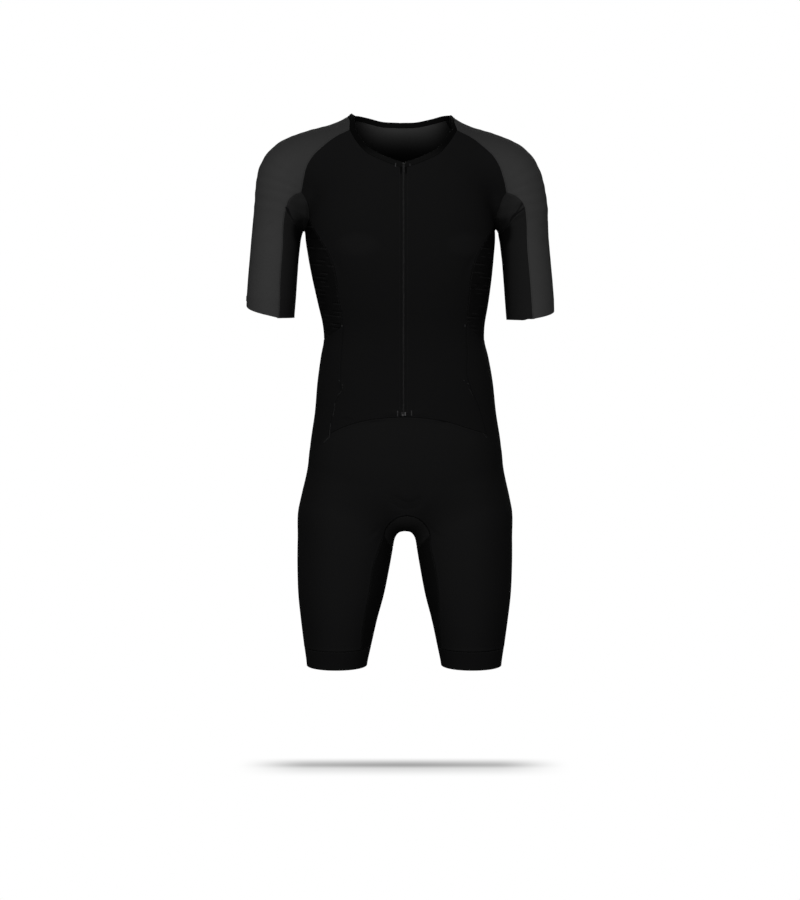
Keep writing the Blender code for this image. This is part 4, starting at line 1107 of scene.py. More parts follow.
@dataclass(frozen=True)
class StitchRow:
    """A row of small thread capsules along a seam."""

    line: Array
    off: float = 0.0017  # signed, across the seam
    pitch: float = 0.0026
    long: float = 0.0019
    radius: float = 0.00021
    slant: float = 0.0  # radians about the outward direction
    skip: tuple[float, float] = (0.0, 0.0)  # bare lengths at the two ends

    def build(self, relief: Relief) -> tuple[Array, Array]:
        """Points and faces of the row.

        Each stitch is four five-sided rings along its own direction, narrow, full, full and
        narrow, half sunk in the cloth.

        Args:
            relief: The relief the row lies on.

        Returns:
            Points and faces, the ends closed.
        """
        run = run_of(self.line)
        count = max(int((run[-1] - sum(self.skip)) / self.pitch), 2)
        at = np.linspace(self.skip[0] + self.pitch / 2, run[-1] - self.skip[1] - self.pitch / 2, count)
        spots, ahead, behind = (read_line(self.line, run, at + k) for k in (0.0, 4e-4, -4e-4))
        run_way = ahead - behind
        run_way /= np.linalg.norm(run_way, axis=1, keepdims=True) + 1e-12
        way, _ = FORM.outward(spots)
        across = np.cross(way, run_way)
        spots = FORM.settle(spots + self.off * across, 2)
        way, _ = FORM.outward(spots)
        run_way -= (run_way * way).sum(1, keepdims=True) * way
        run_way /= np.linalg.norm(run_way, axis=1, keepdims=True)
        across = np.cross(way, run_way)
        if self.slant:
            turned = math.cos(self.slant) * run_way + math.sin(self.slant) * across
            run_way, across = turned, np.cross(way, turned)
        lift = relief.at(spots, abs(self.off)) + self.radius * 0.45
        spots = spots + lift[:, None] * way
        share = np.array([-1.0, -0.72, 0.72, 1.0]) * self.long / 2
        thick = np.array([0.42, 1.0, 1.0, 0.42]) * self.radius
        turn = np.arange(5) * 2 * np.pi / 5
        sag = np.array([-0.6, 0.0, 0.0, -0.6]) * self.radius
        ring = spots[:, None, None] + share[None, :, None, None] * run_way[:, None, None]
        side = (thick[:, None] * np.cos(turn)[None])[None, ..., None]
        up = (thick[:, None] * np.sin(turn)[None] + sag[:, None])[None, ..., None]
        ring = ring + side * across[:, None, None] + up * way[:, None, None]
        return ring.reshape(-1, 3), capsule_faces(count)


def capsule_faces(count: int) -> list:
    """Faces of a number of capsules of four five-point rings each, ends closed."""
    at = np.arange(count * 20).reshape(count, 4, 5)
    after = np.roll(at, -1, axis=2)
    quads = np.stack([at[:, :-1], after[:, :-1], after[:, 1:], at[:, 1:]], -1).reshape(-1, 4)
    return quads[:, ::-1].tolist() + at[:, 0].tolist() + at[:, -1][:, ::-1].tolist()


def put_piece(
    name: str, shape: tuple[Array, list], finish: Finish, stands_for: str = "",
    smooth: bool = True, body: str = "suit",
) -> bpy.types.Object:
    """One finished piece.

    Args:
        name: The piece's name.
        shape: Its points and faces.
        finish: Its finish.
        stands_for: The solid it is shown in place of.
        smooth: Whether its faces are shaded as one surface.
        body: The body it rides on.

    Returns:
        The piece.
    """
    thing = put_mesh(name, *shape, smooth=smooth)
    finish.dress(thing)
    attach(thing, body)
    if stands_for:
        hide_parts(stands_for)
    return thing


def put_rows(name: str, rows: list[StitchRow], relief: Relief, finish: Finish) -> bpy.types.Object:
    """All the rows of one thread as one piece, lying on a relief."""
    return put_piece(name, merge([row.build(relief) for row in rows]), finish)


def sweep(line: Array, profile: Array) -> tuple[Array, list]:
    """A profile carried along a line on the form.

    Every ring is the line's point plus the profile's first number across the line and its
    second outwards.

    Args:
        line: The path on the form.
        profile: Points (across, out) in order round the section.

    Returns:
        Points and faces, turned outwards.
    """
    way, _ = FORM.outward(line)
    run = np.gradient(line, axis=0)
    across = np.cross(way, run)
    across /= np.linalg.norm(across, axis=1, keepdims=True)
    side, out = profile[None, :, :1], profile[None, :, 1:]
    return ring_faces(line[:, None] + side * across[:, None] + out * way[:, None])


def ring_faces(rings: Array) -> tuple[Array, list]:
    """A bar through rings, its ends closed by flat caps.

    Args:
        rings: The rings, rings by points by 3.

    Returns:
        Points and faces, turned outwards by the sign of their summed facing from the rings' middles.
    """
    count, size = rings.shape[:2]
    at = np.arange(count * size).reshape(count, size)
    after = np.roll(at, -1, axis=1)
    quads = np.stack([at[:-1], after[:-1], after[1:], at[1:]], -1).reshape(-1, 4)
    flat = rings.reshape(-1, 3)
    faces = quads.tolist() + [at[0][::-1].tolist(), at[-1].tolist()]
    a, b, c, d = (flat[quads[:, k]] for k in range(4))
    core = np.repeat(rings.mean(1)[:-1], size, 0)
    facing = (np.cross(c - a, d - b) * ((a + b + c + d) / 4 - core)).sum()
    if facing < 0:
        faces = [face[::-1] for face in faces]
    return flat, faces


def merge(parts: list[tuple[Array, list]]) -> tuple[Array, list]:
    """Several bodies' points and faces as one."""
    points, faces, start = [], [], 0
    for some, corners in parts:
        points.append(some)
        faces += [[c + start for c in face] for face in corners]
        start += len(some)
    return np.concatenate(points), faces


def rounded_box(half_across: float, low: float, high: float, corner: float, steps: int = 3) -> Array:
    """A rounded rectangle: quarter circles of the corner radius at its corners.

    Args:
        half_across: Half its width.
        low: Its foot.
        high: Its head.
        corner: The corner radius.
        steps: Steps of each quarter circle.

    Returns:
        Its points (across, out) in order round it.
    """
    turn = np.linspace(0, np.pi / 2, steps + 1)
    arc = corner * np.stack([np.cos(turn), np.sin(turn)], 1)
    out = []
    for number, (x, z) in enumerate((
        (half_across - corner, high - corner), (corner - half_across, high - corner),
        (corner - half_across, low + corner), (half_across - corner, low + corner),
    )):
        c, s = math.cos(number * math.pi / 2), math.sin(number * math.pi / 2)
        out.append(np.array([x, z]) + arc @ np.array([[c, s], [-s, c]]))
    return np.concatenate(out)


class Wire:
    """A number that flows between shader nodes; arithmetic on it adds Math nodes."""

    def __init__(self, shader: Shader, socket: bpy.types.NodeSocket) -> None:
        """Keeps the shader and the socket the number comes out of."""
        self.shader = shader
        self.socket = socket

    def math(self, operation: str, *others: Wire | float) -> Wire:
        """The result of a Math operation on this number and others."""
        numbers = dict(enumerate((self, *others)))
        node = self.shader.add("ShaderNodeMath", {"operation": operation}, numbers)
        return Wire(self.shader, node.outputs[0])

    def __add__(self, other: Wire | float) -> Wire:
        """Sum."""
        return self.math("ADD", other)

    def __sub__(self, other: Wire | float) -> Wire:
        """Difference."""
        return self.math("SUBTRACT", other)

    def __rsub__(self, other: float) -> Wire:
        """Difference from a plain number."""
        return (self * -1.0).math("ADD", other)

    def __mul__(self, other: Wire | float) -> Wire:
        """Product."""
        return self.math("MULTIPLY", other)

    def __truediv__(self, other: Wire | float) -> Wire:
        """Quotient."""
        return self.math("DIVIDE", other)

    def __rtruediv__(self, other: float) -> Wire:
        """A plain number over this one."""
        return self.math("POWER", -1.0) * other

    def __pow__(self, other: float) -> Wire:
        """Power."""
        return self.math("POWER", other)

    __radd__, __rmul__ = __add__, __mul__  # the same whichever side the plain number is on

    def __neg__(self) -> Wire:
        """The number with its sign turned."""
        return self * -1.0

    def __abs__(self) -> Wire:
        """Size without sign."""
        return self.math("ABSOLUTE")

    def wave(self, length: float = 1.0) -> Wire:
        """A sine wave of this length, from -1 to 1."""
        return (self * (2 * math.pi / length)).math("SINE")

    def part(self) -> Wire:
        """What is left over a whole number."""
        return self.math("FRACT")

    def floor(self) -> Wire:
        """The whole number below."""
        return self.math("FLOOR")

    def eased(self, low: float, high: float) -> Wire:
        """A smooth step from 0 at low to 1 at high."""
        node = self.shader.add(
            "ShaderNodeMapRange", {"interpolation_type": "SMOOTHSTEP"}, {0: self, 1: low, 2: high}
        )
        return Wire(self.shader, node.outputs[0])


class Shader:
    """One material with a Principled shader, and the nodes that feed it."""

    def __init__(self, name: str) -> None:
        """Starts a material of this name."""
        self.material = bpy.data.materials.new(name)
        self.material.use_nodes = True
        self.tree = self.material.node_tree
        self.main = self.tree.nodes["Principled BSDF"]

    def add(self, kind: str, settings: dict | None = None, inputs: dict | None = None) -> bpy.types.Node:
        """Adds a node.

        Args:
            kind: The node's type.
            settings: Its settings, and a ramp's stops as (place, colour) pairs under stops.
            inputs: Values or links of its sockets by name or number.

        Returns:
            The node.
        """
        node = self.tree.nodes.new(kind)
        for name, value in (settings or {}).items():
            if name == "stops":
                for number, (place, colour) in enumerate(value):
                    stops = node.color_ramp.elements
                    stop = stops[number] if number < len(stops) else stops.new(place)
                    stop.position, stop.color = place, colour
            else:
                setattr(node, name, value)
        for key, value in (inputs or {}).items():
            self.feed(node.inputs[key], value)
        return node

    def feed(self, socket: bpy.types.NodeSocket, value: object) -> None:
        """Links or sets one socket."""
        if isinstance(value, Wire):
            self.tree.links.new(value.socket, socket)
        elif isinstance(value, bpy.types.NodeSocket):
            self.tree.links.new(value, socket)
        else:
            socket.default_value = value

    def cloth_place(self) -> tuple[Wire, Wire]:
        """The two coordinates of the cloth, across and down its grain, in metres."""
        split = self.add("ShaderNodeSeparateXYZ", None, {0: self.cloth_vector()})
        return Wire(self, split.outputs[0]), Wire(self, split.outputs[1])

    def place(self) -> tuple[Wire, Wire, Wire]:
        """The three coordinates of a place in the object."""
        split = self.add("ShaderNodeSeparateXYZ", None, {0: self.solid_vector()})
        return tuple(Wire(self, split.outputs[axis]) for axis in range(3))

    def cloth_vector(self) -> bpy.types.NodeSocket:
        """The cloth's own map."""
        return self.add("ShaderNodeUVMap", {"uv_map": "cloth"}).outputs["UV"]

    def solid_vector(self) -> bpy.types.NodeSocket:
        """The place in the object, in metres."""
        return self.add("ShaderNodeTexCoord").outputs["Object"]

    def noise(self, vector: object, scale: float, detail: float = 2.0, rough: float = 0.5) -> Wire:
        """Cloudy noise about one half, with a number of features a metre."""
        node = self.add(
            "ShaderNodeTexNoise", None,
            {"Vector": vector, "Scale": scale, "Detail": detail, "Roughness": rough},
        )
        return Wire(self, node.outputs[0])

    def between(self, share: Wire, low: tuple, high: tuple) -> bpy.types.NodeSocket:
        """A colour between two, by a share."""
        node = self.add(
            "ShaderNodeMix", {"data_type": "RGBA", "clamp_factor": True},
            {0: share, 6: (*low, 1.0), 7: (*high, 1.0)},
        )
        return node.outputs[2]

    def shade(self, colour: tuple, share: Wire, span: tuple[float, float], rough: Wire) -> None:
        """Feeds the colour, between its darkest and palest shade by a share, and the roughness."""
        low, high = (tuple(c * factor for c in colour) for factor in span)
        self.feed(self.main.inputs["Base Color"], self.between(share, low, high))
        self.feed(self.main.inputs["Roughness"], rough)

    def vector(self, x: Wire | float, y: Wire | float, z: Wire | float = 0.0) -> bpy.types.NodeSocket:
        """A vector from three numbers."""
        return self.add("ShaderNodeCombineXYZ", None, {0: x, 1: y, 2: z}).outputs[0]

    def bump(self, height: Wire, distance: float, strength: float = 1.0) -> None:
        """Feeds the shader's normal from a height, its full range worth a distance in metres."""
        node = self.add(
            "ShaderNodeBump", None, {"Height": height, "Distance": distance, "Strength": strength}
        )
        self.tree.links.new(node.outputs[0], self.main.inputs["Normal"])

    def plain(self, **values: float) -> None:
        """Sets the shader's own sockets by name, with spaces for underscores."""
        for name, value in values.items():
            self.main.inputs[name.replace("_", " ")].default_value = value


@dataclass(frozen=True)
class Finish:
    """A finish: its name, the material slot it belongs to, its colour and its gloss."""

    name: str
    slot: str
    colour: tuple[float, float, float]
    rough: float = 0.85
    specular: float = 0.012

    def paint(self, s: Shader) -> None:
        """Feeds the shader; each finish has its own way."""
        cloud = s.noise(s.solid_vector(), 90.0)
        s.shade(self.colour, cloud, (0.8, 1.2), cloud * 0.16 + (self.rough - 0.08))

    def made(self) -> bpy.types.Material:
        """The finish's material, made once."""
        known = bpy.data.materials.get(self.name)
        if known:
            return known
        shader = Shader(self.name)
        shader.plain(Specular_IOR_Level=self.specular)
        self.paint(shader)
        return shader.material

    def dress(self, thing: bpy.types.Object) -> None:
        """Puts the finish on a piece."""
        thing.data.materials.clear()
        thing.data.materials.append(self.made())


@dataclass(frozen=True)
class Knit(Finish):
    """A fine weft knit: columns of V-shaped stitches, with a slow change of shade over the cloth."""

    wale: float = 0.00085  # width of a column of stitches
    course: float = 0.00066  # height of one stitch
    relief: float = 0.00005
    mottle: float = 0.08
    grain: float = 1.0  # how strongly the stitches show in the shade
    span: tuple[float, float] = (0.62, 1.38)  # darkest and palest shade of the colour

    def stitches(self, s: Shader, u: Wire, v: Wire) -> Wire:
        """Height of the stitches, 0 to 1.

        Each column is folded about its middle; the yarn runs slanting across each half, so the
        height is a rounded leg across the column times a wave along the yarn.
        """
        half = abs((u / self.wale).part() - 0.5)
        leg = 1.0 - abs(half * 4.0 - 1.0)
        yarn = (v / self.course + half * 1.5).wave() * 0.5 + 0.5
        return (leg**0.7) * (yarn * 0.55 + 0.45)

    def tone(self, x: Wire, y: Wire, z: Wire) -> Wire | float:
        """The share of the pale shade at a place; even on a plain knit."""
        return 0.3

    @staticmethod
    def pit(x: Wire, z: Wire) -> Wire:
        """Painted shade of the armpit: full at its middle, eased out over two centimetres."""
        out, up = abs(x) - 0.1625, z + 0.193
        return 1.0 - ((out * out + up * up * 0.5) ** 0.5).eased(0.004, 0.02)

    def paint(self, s: Shader) -> None:
        """Knit height in the bump; shade from the tone, the knit, fine fibre and slow clouds, less the
        armpit's painted shade.
        """
        u, v = s.cloth_place()
        height = self.stitches(s, u, v)
        fibre = s.noise(s.cloth_vector(), 1400.0, 3.0, 0.7)
        cloud = s.noise(s.solid_vector(), 14.0, 3.0)
        shade = (height * 0.34 + fibre * 0.3 + (cloud - 0.5) * self.mottle) * self.grain
        x, y, z = s.place()
        # the armpit's shade is painted into the colour here
        shade = shade + self.tone(x, y, z) - self.pit(x, z) * 0.75
        s.shade(self.colour, shade, self.span, fibre * 0.12 + (self.rough - 0.06))
        s.bump(height + fibre * 0.35, self.relief)


@dataclass(frozen=True)
class FrontKnit(Knit):
    """The fronts' knit: a painted highlight on each side of the chest, and a painted shadow beside the
    slider.
    """

    chest: tuple[float, float] = (0.086, -0.215)  # how far out and how high the painted highlight ovals lie

    def tone(self, x: Wire, y: Wire, z: Wire) -> Wire:
        """Two soft painted highlight ovals on the chest, less two short painted shadow lines at the
        slider's sides.
        """
        across = (abs(x - 0.0156) - self.chest[0]) / 0.032
        up = (z - self.chest[1]) / 0.018
        chest_highlight = 1.0 - (across * across + up * up).eased(0.1, 1.6)
        near = 1.0 - abs(abs(x - FRONT_MID) - 0.0041).eased(0.0006, 0.0013)
        slider_shadow = near * z.eased(-0.1055, -0.102) * (1.0 - z.eased(-0.0885, -0.087))
        return chest_highlight * 0.15 - slider_shadow * (1.0 - y.eased(-0.05, 0.0)) * 0.8 + 0.42


@dataclass(frozen=True)
class GussetKnit(Knit):
    """A knit with a painted sheen on its upper outer part, none where it turns into the armpit, and the
    painted light and shade of small folds.
    """

    across: tuple[float, float] = (0.146, 0.163)  # distances out where the painted sheen comes in
    down: tuple[float, float] = (-0.188, -0.16)  # heights where it comes in
    fan: tuple[float, float] = (0.168, -0.186)  # the point the painted light and shade of the small folds spread from

    def tone(self, x: Wire, y: Wire, z: Wire) -> Wire:
        """Painted sheen, a step outwards times a step upwards, and painted fold light and shade, waves of
        the angle round a point.
        """
        painted_sheen = abs(x).eased(*self.across) * z.eased(*self.down)
        out, up = abs(x) - self.fan[0], z - self.fan[1]
        angle = up.math("ARCTAN2", out)
        far = ((out * out + up * up) ** 0.5).eased(0.009, 0.018)
        painted_folds_at = angle.eased(0.5, 0.58) * (1.0 - angle.eased(1.02, 1.12)) * far
        return painted_sheen * 0.72 + ((angle * 34.3 + 2.305).math("SINE") - 0.4) * painted_folds_at * 0.62


@dataclass(frozen=True)
class EdgeKnit(Knit):
    """A knit with painted shade between two distances out from the middle, deepest at the first of them."""

    reach: tuple[float, float] = (0.16, 0.1)
    fall: float = 0.24

    def tone(self, x: Wire, y: Wire, z: Wire) -> Wire:
        """Full painted shade at the first distance and none at the second."""
        return 0.3 - (1.0 - abs(x).eased(*self.reach)) * self.fall


@dataclass(frozen=True)
class BindingKnit(Knit):
    """The neck binding: darkest over the shoulders at the front, paler at the nape and lower down the
    front.
    """

    def tone(self, x: Wire, y: Wire, z: Wire) -> Wire:
        """The dark share is a smooth step up the front, faded out towards the back."""
        return 0.62 - z.eased(-0.076, -0.054) * (1.0 - y.eased(0.026, 0.052)) * 0.6


@dataclass(frozen=True)
class InsideKnit(Knit):
    """The yoke's inner face: pale brushed knit at the nape, with painted shade that darkens it lower down
    inside the body and out to the sides.
    """

    foot: float = -0.074
    head: float = -0.021
    reach: float = 0.08

    def tone(self, x: Wire, y: Wire, z: Wire) -> Wire:
        """Painted shade: the height's share to the power 2.4, less its square far from the middle."""
        up = ((z - self.foot) / (self.head - self.foot)).math("MAXIMUM", 0.0)
        out = x / self.reach
        return (up**2.4) * (1.0 - (out * out).eased(0.0, 1.0) * 0.75) * 0.93 - 0.04


@dataclass(frozen=True)
class AeroKnit(Knit):
    """The sleeves' knit: rows of small raised cells set like bricks, lighter on their backs."""

    cell: tuple[float, float] = (0.0024, 0.0032)
    lift: float = 0.00012

    def paint(self, s: Shader) -> None:
        """Cells are rounded lozenges: one less the sum of the two folded, row-shifted parts."""
        u, v = s.cloth_place()
        row = v / self.cell[1]
        odd = ((row.floor() * 0.5).part() * 2.0).eased(0.4, 0.6)
        x = abs((u / self.cell[0] + odd * 0.5).part() - 0.5) * 2.0
        y = abs(row.part() - 0.5) * 2.0
        cell = (1.0 - ((x**2.2) * 0.95 + (y**2.6) * 0.95)).eased(0.0, 0.75)
        height = self.stitches(s, u, v)
        fibre = s.noise(s.cloth_vector(), 1100.0, 3.0, 0.75)
        cloud = s.noise(s.solid_vector(), 16.0, 3.0)
        speck = s.noise(s.cloth_vector(), 420.0, 2.0, 0.8)
        # painted shade: the knit is darkened towards the top of the shoulder
        top = s.place()[2].eased(-0.12, -0.03)
        shade = cell * 0.14 + fibre * 0.26 + speck * 0.46 + height * 0.08
        shade = shade + (cloud - 0.5) * self.mottle
        shade = shade + 0.06 - top * 0.32
        s.shade(self.colour, shade, (0.56, 1.44), 1.0 - cell * 0.14 - fibre * 0.06)
        s.bump(cell + height * 0.12 + fibre * 0.12, self.lift)


@dataclass(frozen=True)
class RibMesh(Knit):
    """The side panels' mesh: small holes on a lozenge net and broken, nearly level ribs."""

    hole: float = 0.003
    rib: float = 0.0066
    lean: float = 0.1  # fall of the ribs for each metre across

    def paint(self, s: Shader) -> None:
        """Holes darken the net; ribs are short wavy raised dashes painted pale as a highlight, with a
        painted shadow line over them.
        """
        u, v = s.cloth_place()
        x, _, z = s.place()
        a = ((u + v) / self.hole).part() - 0.5
        b = ((u - v) / self.hole).part() - 0.5
        hole = 1.0 - ((a * a + b * b) ** 0.5).eased(0.14, 0.26)
        wave = u.wave(0.0052) * 0.0004
        row = ((z + x * self.lean + wave) / self.rib).part() - 0.5
        broken = s.noise(s.vector(x * 0.55, z * 1.6), 75.0, 1.0).eased(0.5, 0.58)
        rib_and_highlight = (1.0 - abs(row).eased(0.09, 0.17)) * broken
        rib_shadow = (1.0 - abs(row - 0.24).eased(0.08, 0.16)) * broken
        height = self.stitches(s, u, v)
        fibre = s.noise(s.cloth_vector(), 1300.0, 2.0, 0.7)
        shade = fibre * 0.1 + height * 0.06 - hole * 0.1 + rib_and_highlight * 0.5 - rib_shadow * 0.3 + 0.26
        # painted shade darkens the top near the armpit and the armpit itself; the foot is a little paler
        shade = shade - z.eased(-0.235, -0.19) * 0.22 + (1.0 - z.eased(-0.35, -0.28)) * 0.06
        shade = shade - self.pit(x, z) * 0.3
        s.shade(self.colour, shade, (0.2, 2.6), 0.95 - rib_and_highlight * 0.15)
        s.bump(height * 0.3 + rib_and_highlight * 0.8 - hole * 1.2, 0.00018)


@dataclass(frozen=True)
class Thread(Finish):
    """Sewing thread with its twist, a little glossier than cloth."""

    def paint(self, s: Shader) -> None:
        """A fine slanting wave of the twist in shade and bump."""
        x, _, z = s.place()
        twist = (x + z * 0.8).wave(0.00045) * 0.5 + 0.5
        cloud = s.noise(s.solid_vector(), 300.0)
        shade = twist * 0.5 + cloud * 0.5
        s.shade(self.colour, shade, (0.7, 1.3), self.rough - twist * 0.1)
        s.bump(twist, 0.00003)


@dataclass(frozen=True)
class Plastic(Finish):
    """Moulded nylon of the zip, satin with rubbed edges and a fine grain."""

    rub: float = 1.6

    def paint(self, s: Shader) -> None:
        """Fine grain in roughness and bump; slow patches where handling has rubbed it paler."""
        grain = s.noise(s.solid_vector(), 2600.0, 2.0, 0.6)
        rubbed = s.noise(s.solid_vector(), 420.0, 2.0).eased(0.5, 0.72)
        rough = grain * 0.2 + (self.rough - 0.1) - rubbed * 0.08
        s.shade(self.colour, rubbed, (1.0, self.rub), rough)
        s.bump(grain, 0.00004)


@dataclass(frozen=True)
class Woven(Finish):
    """A narrow woven tape: over and under threads."""

    pitch: float = 0.0009

    def paint(self, s: Shader) -> None:
        """Two crossed waves, one for each way of the weave, the larger one showing."""
        x, _, z = s.place()
        weave = x.wave(self.pitch) * z.wave(self.pitch) * 0.5 + 0.5
        cloud = s.noise(s.solid_vector(), 120.0)
        shade = weave * 0.6 + cloud * 0.4
        s.shade(self.colour, shade, (0.6, 1.4), self.rough - weave * 0.08)
        s.bump(weave, 0.0001)


FRONT_KNIT = FrontKnit("front_knit", "body_black", (0.0056, 0.0056, 0.0057), grain=0.6, span=(0.25, 1.5))
SHORTS_KNIT = EdgeKnit(
    "shorts_knit", "shorts_black", (0.0065, 0.0065, 0.0066),
    wale=0.00075, course=0.0006, reach=(0.158, 0.105),
)
SLEEVE_KNIT = AeroKnit("sleeve_knit", "sleeve_grey", (0.033, 0.033, 0.033))
INNER_YOKE = InsideKnit(
    "yoke_inside", "sleeve_grey", (0.045, 0.045, 0.045), grain=0.15, span=(0.01, 1.0)
)
UNDER_KNIT = EdgeKnit(
    "under_sleeve_knit", "under_sleeve_black", (0.01, 0.01, 0.0101),
    reach=(0.164, 0.177), fall=0.58, span=(0.3, 1.3),
)
GUSSET_KNIT = GussetKnit(
    "gusset_knit", "gusset_black", (0.0135, 0.0135, 0.0136),
    rough=0.62, specular=0.03, grain=0.42, span=(0.4, 1.0),
)
SIDE_MESH = RibMesh("side_mesh_knit", "mesh_black", (0.0042, 0.0042, 0.0042))
THIGH_KNIT = Knit("thigh_knit", "thigh_black", (0.004, 0.004, 0.004))
BAND_KNIT = Knit("band_knit", "band_black", (0.0053, 0.0053, 0.0054), wale=0.0011, course=0.0008)
CROTCH_KNIT = Knit("crotch_knit", "thigh_black", (0.0092, 0.0092, 0.0092))
BINDING_KNIT = BindingKnit(
    "binding_knit", "binding_black", (0.005, 0.005, 0.005),
    wale=0.001, course=0.0008, grain=0.5, span=(0.22, 1.1),
)
DARK_THREAD = Thread("dark_thread", "body_black", (0.0048, 0.0048, 0.005), rough=0.6, specular=0.15)
GREY_THREAD = Thread("grey_thread", "body_black", (0.016, 0.016, 0.0165), rough=0.55, specular=0.2)
SATIN_THREAD = Thread("satin_thread", "zip_grey", (0.03, 0.03, 0.031), rough=0.6, specular=0.1)
# dark cords standing in for the shadow in the seams, painted as thread
SEAM_SHADOW_CORD = Thread("seam_shadow_cord", "body_black", (0.0012, 0.0012, 0.0012), rough=0.8)
TAPE_THREAD = Thread("allowance_thread", "body_black", (0.005, 0.005, 0.0052), rough=0.8)
ZIP_NYLON = Plastic("zip_nylon", "zip_black", (0.017, 0.017, 0.0172), rough=0.5, specular=0.2)
ZIP_PAINT = Plastic("zip_paint", "zip_black", (0.0105, 0.0105, 0.0106), rough=0.6, specular=0.05)
ZIP_STOP = Plastic("zip_stop", "zip_grey", (0.04, 0.04, 0.041), rough=0.5, specular=0.2)
ZIP_WEAVE = Woven("zip_tape_weave", "zip_black", (0.0028, 0.0028, 0.0028))
TAB_WEAVE = Woven("tab_weave", "body_black", (0.004, 0.004, 0.0042))


# ---- creases ----
PIT_FOLDS = (
    Crease(((-0.189, -0.153), (-0.1771, -0.1628), (-0.1665, -0.169)), 0.005, 0.0014, CreaseKind.FOLD),
    Crease(((-0.185, -0.159), (-0.1772, -0.1683), (-0.17, -0.1745)), 0.0042, 0.0012, CreaseKind.FOLD),
    Crease(((0.172, -0.177), (0.1793, -0.1639), (0.1871, -0.1544), (0.1945, -0.147)), 0.005, 0.0015,
           CreaseKind.FOLD),
    Crease(((0.1712, -0.1785), (0.1809, -0.1671), (0.1888, -0.1616), (0.1965, -0.156)), 0.0042, 0.0013,
           CreaseKind.FOLD),
    Crease(((0.1728, -0.1818), (0.1842, -0.1743), (0.1975, -0.1655)), 0.0046, 0.0013, CreaseKind.FOLD),
)
SLEEVE_CREASES = (
    Crease(((-0.2, -0.176), (-0.218, -0.187), (-0.232, -0.193)), 0.016, 0.001),
    Crease(((-0.202, -0.205), (-0.219, -0.213), (-0.233, -0.216)), 0.02, 0.0008),
    Crease(((0.206, -0.172), (0.222, -0.184), (0.236, -0.19)), 0.016, 0.001),
    Crease(((0.207, -0.203), (0.223, -0.211), (0.237, -0.214)), 0.02, 0.0008),
    Crease(((-0.164, -0.092), (-0.178, -0.106), (-0.186, -0.126)), 0.016, 0.0008),
    Crease(((0.166, -0.094), (0.18, -0.108), (0.188, -0.128)), 0.016, 0.0008),
)
BODY_CREASES = (
    Crease(((-0.0296, -0.483), (0.0007, -0.4815), (0.0357, -0.483)), 0.007, 0.001, CreaseKind.RIDGE),
    Crease(((-0.101, -0.4936), (-0.0905, -0.4932), (-0.08, -0.495)), 0.0046, 0.001, CreaseKind.FOLD),
    Crease(((-0.1085, -0.4186), (-0.101, -0.434), (-0.0921, -0.4501)), 0.006, 0.0007, CreaseKind.RIDGE),
    Crease(((0.0935, -0.4196), (0.103, -0.431), (0.1114, -0.4425)), 0.006, 0.0007, CreaseKind.RIDGE),
    Crease(((-0.118, -0.23), (-0.104, -0.248), (-0.096, -0.27)), 0.012, 0.0007),
    Crease(((0.12, -0.228), (0.106, -0.247), (0.098, -0.269)), 0.012, 0.0007),
)
SHORTS_CREASES = (
    Crease(
        ((-0.0164, -0.615), (-0.006, -0.629), (0.006, -0.633), (0.018, -0.6315), (0.031, -0.62)),
        0.015, 0.0024,
    ),
    Crease(((-0.056, -0.499), (-0.044, -0.4975), (-0.03, -0.4958)), 0.0042, 0.0009, CreaseKind.FOLD),
    Crease(((0.054, -0.4975), (0.063, -0.4985), (0.072, -0.5)), 0.0042, 0.0009, CreaseKind.FOLD),
    Crease(((-0.04, -0.672), (-0.047, -0.68), (-0.056, -0.686)), 0.008, 0.0006, CreaseKind.FOLD),
    Crease(((0.048, -0.674), (0.056, -0.682), (0.065, -0.686)), 0.008, 0.0005, CreaseKind.FOLD),
)
BACK_CREASES = on_back(
    (((-0.136, -0.168), (-0.122, -0.19), (-0.104, -0.205)), 0.01, 0.0013),
    (((-0.134, -0.186), (-0.12, -0.206), (-0.106, -0.222)), 0.008, 0.001),
    (((-0.1, -0.42), (-0.06, -0.432), (-0.02, -0.428)), 0.014, 0.0014),
    (((-0.108, -0.468), (-0.07, -0.478), (-0.03, -0.474)), 0.014, 0.0014),
    (((-0.104, -0.516), (-0.064, -0.524), (-0.024, -0.52)), 0.012, 0.0011),
)
SEAT_CREASES = on_back(
    (((-0.108, -0.688), (-0.078, -0.7), (-0.048, -0.694)), 0.014, 0.0022),
    (((-0.118, -0.712), (-0.086, -0.722), (-0.058, -0.716)), 0.01, 0.0012),
    (((-0.02, -0.61), (-0.026, -0.634), (-0.036, -0.656)), 0.01, 0.0012),
)
SLEEVE_BACK_CREASES = on_back(
    (((-0.205, -0.179), (-0.216, -0.187), (-0.227, -0.191)), 0.014, 0.0012),
    (((-0.206, -0.207), (-0.216, -0.212), (-0.228, -0.214)), 0.016, 0.001),
)
SMOOTH = Relief(())
TRUNK_RELIEF = Relief(BODY_CREASES + BACK_CREASES + PIT_FOLDS)
SLEEVE_RELIEF = Relief(SLEEVE_CREASES + SLEEVE_BACK_CREASES + PIT_FOLDS)
PIT_RELIEF = Relief(PIT_FOLDS + BACK_CREASES + SLEEVE_BACK_CREASES, 0.0004)
SHORTS_RELIEF = Relief(SHORTS_CREASES + SEAT_CREASES)


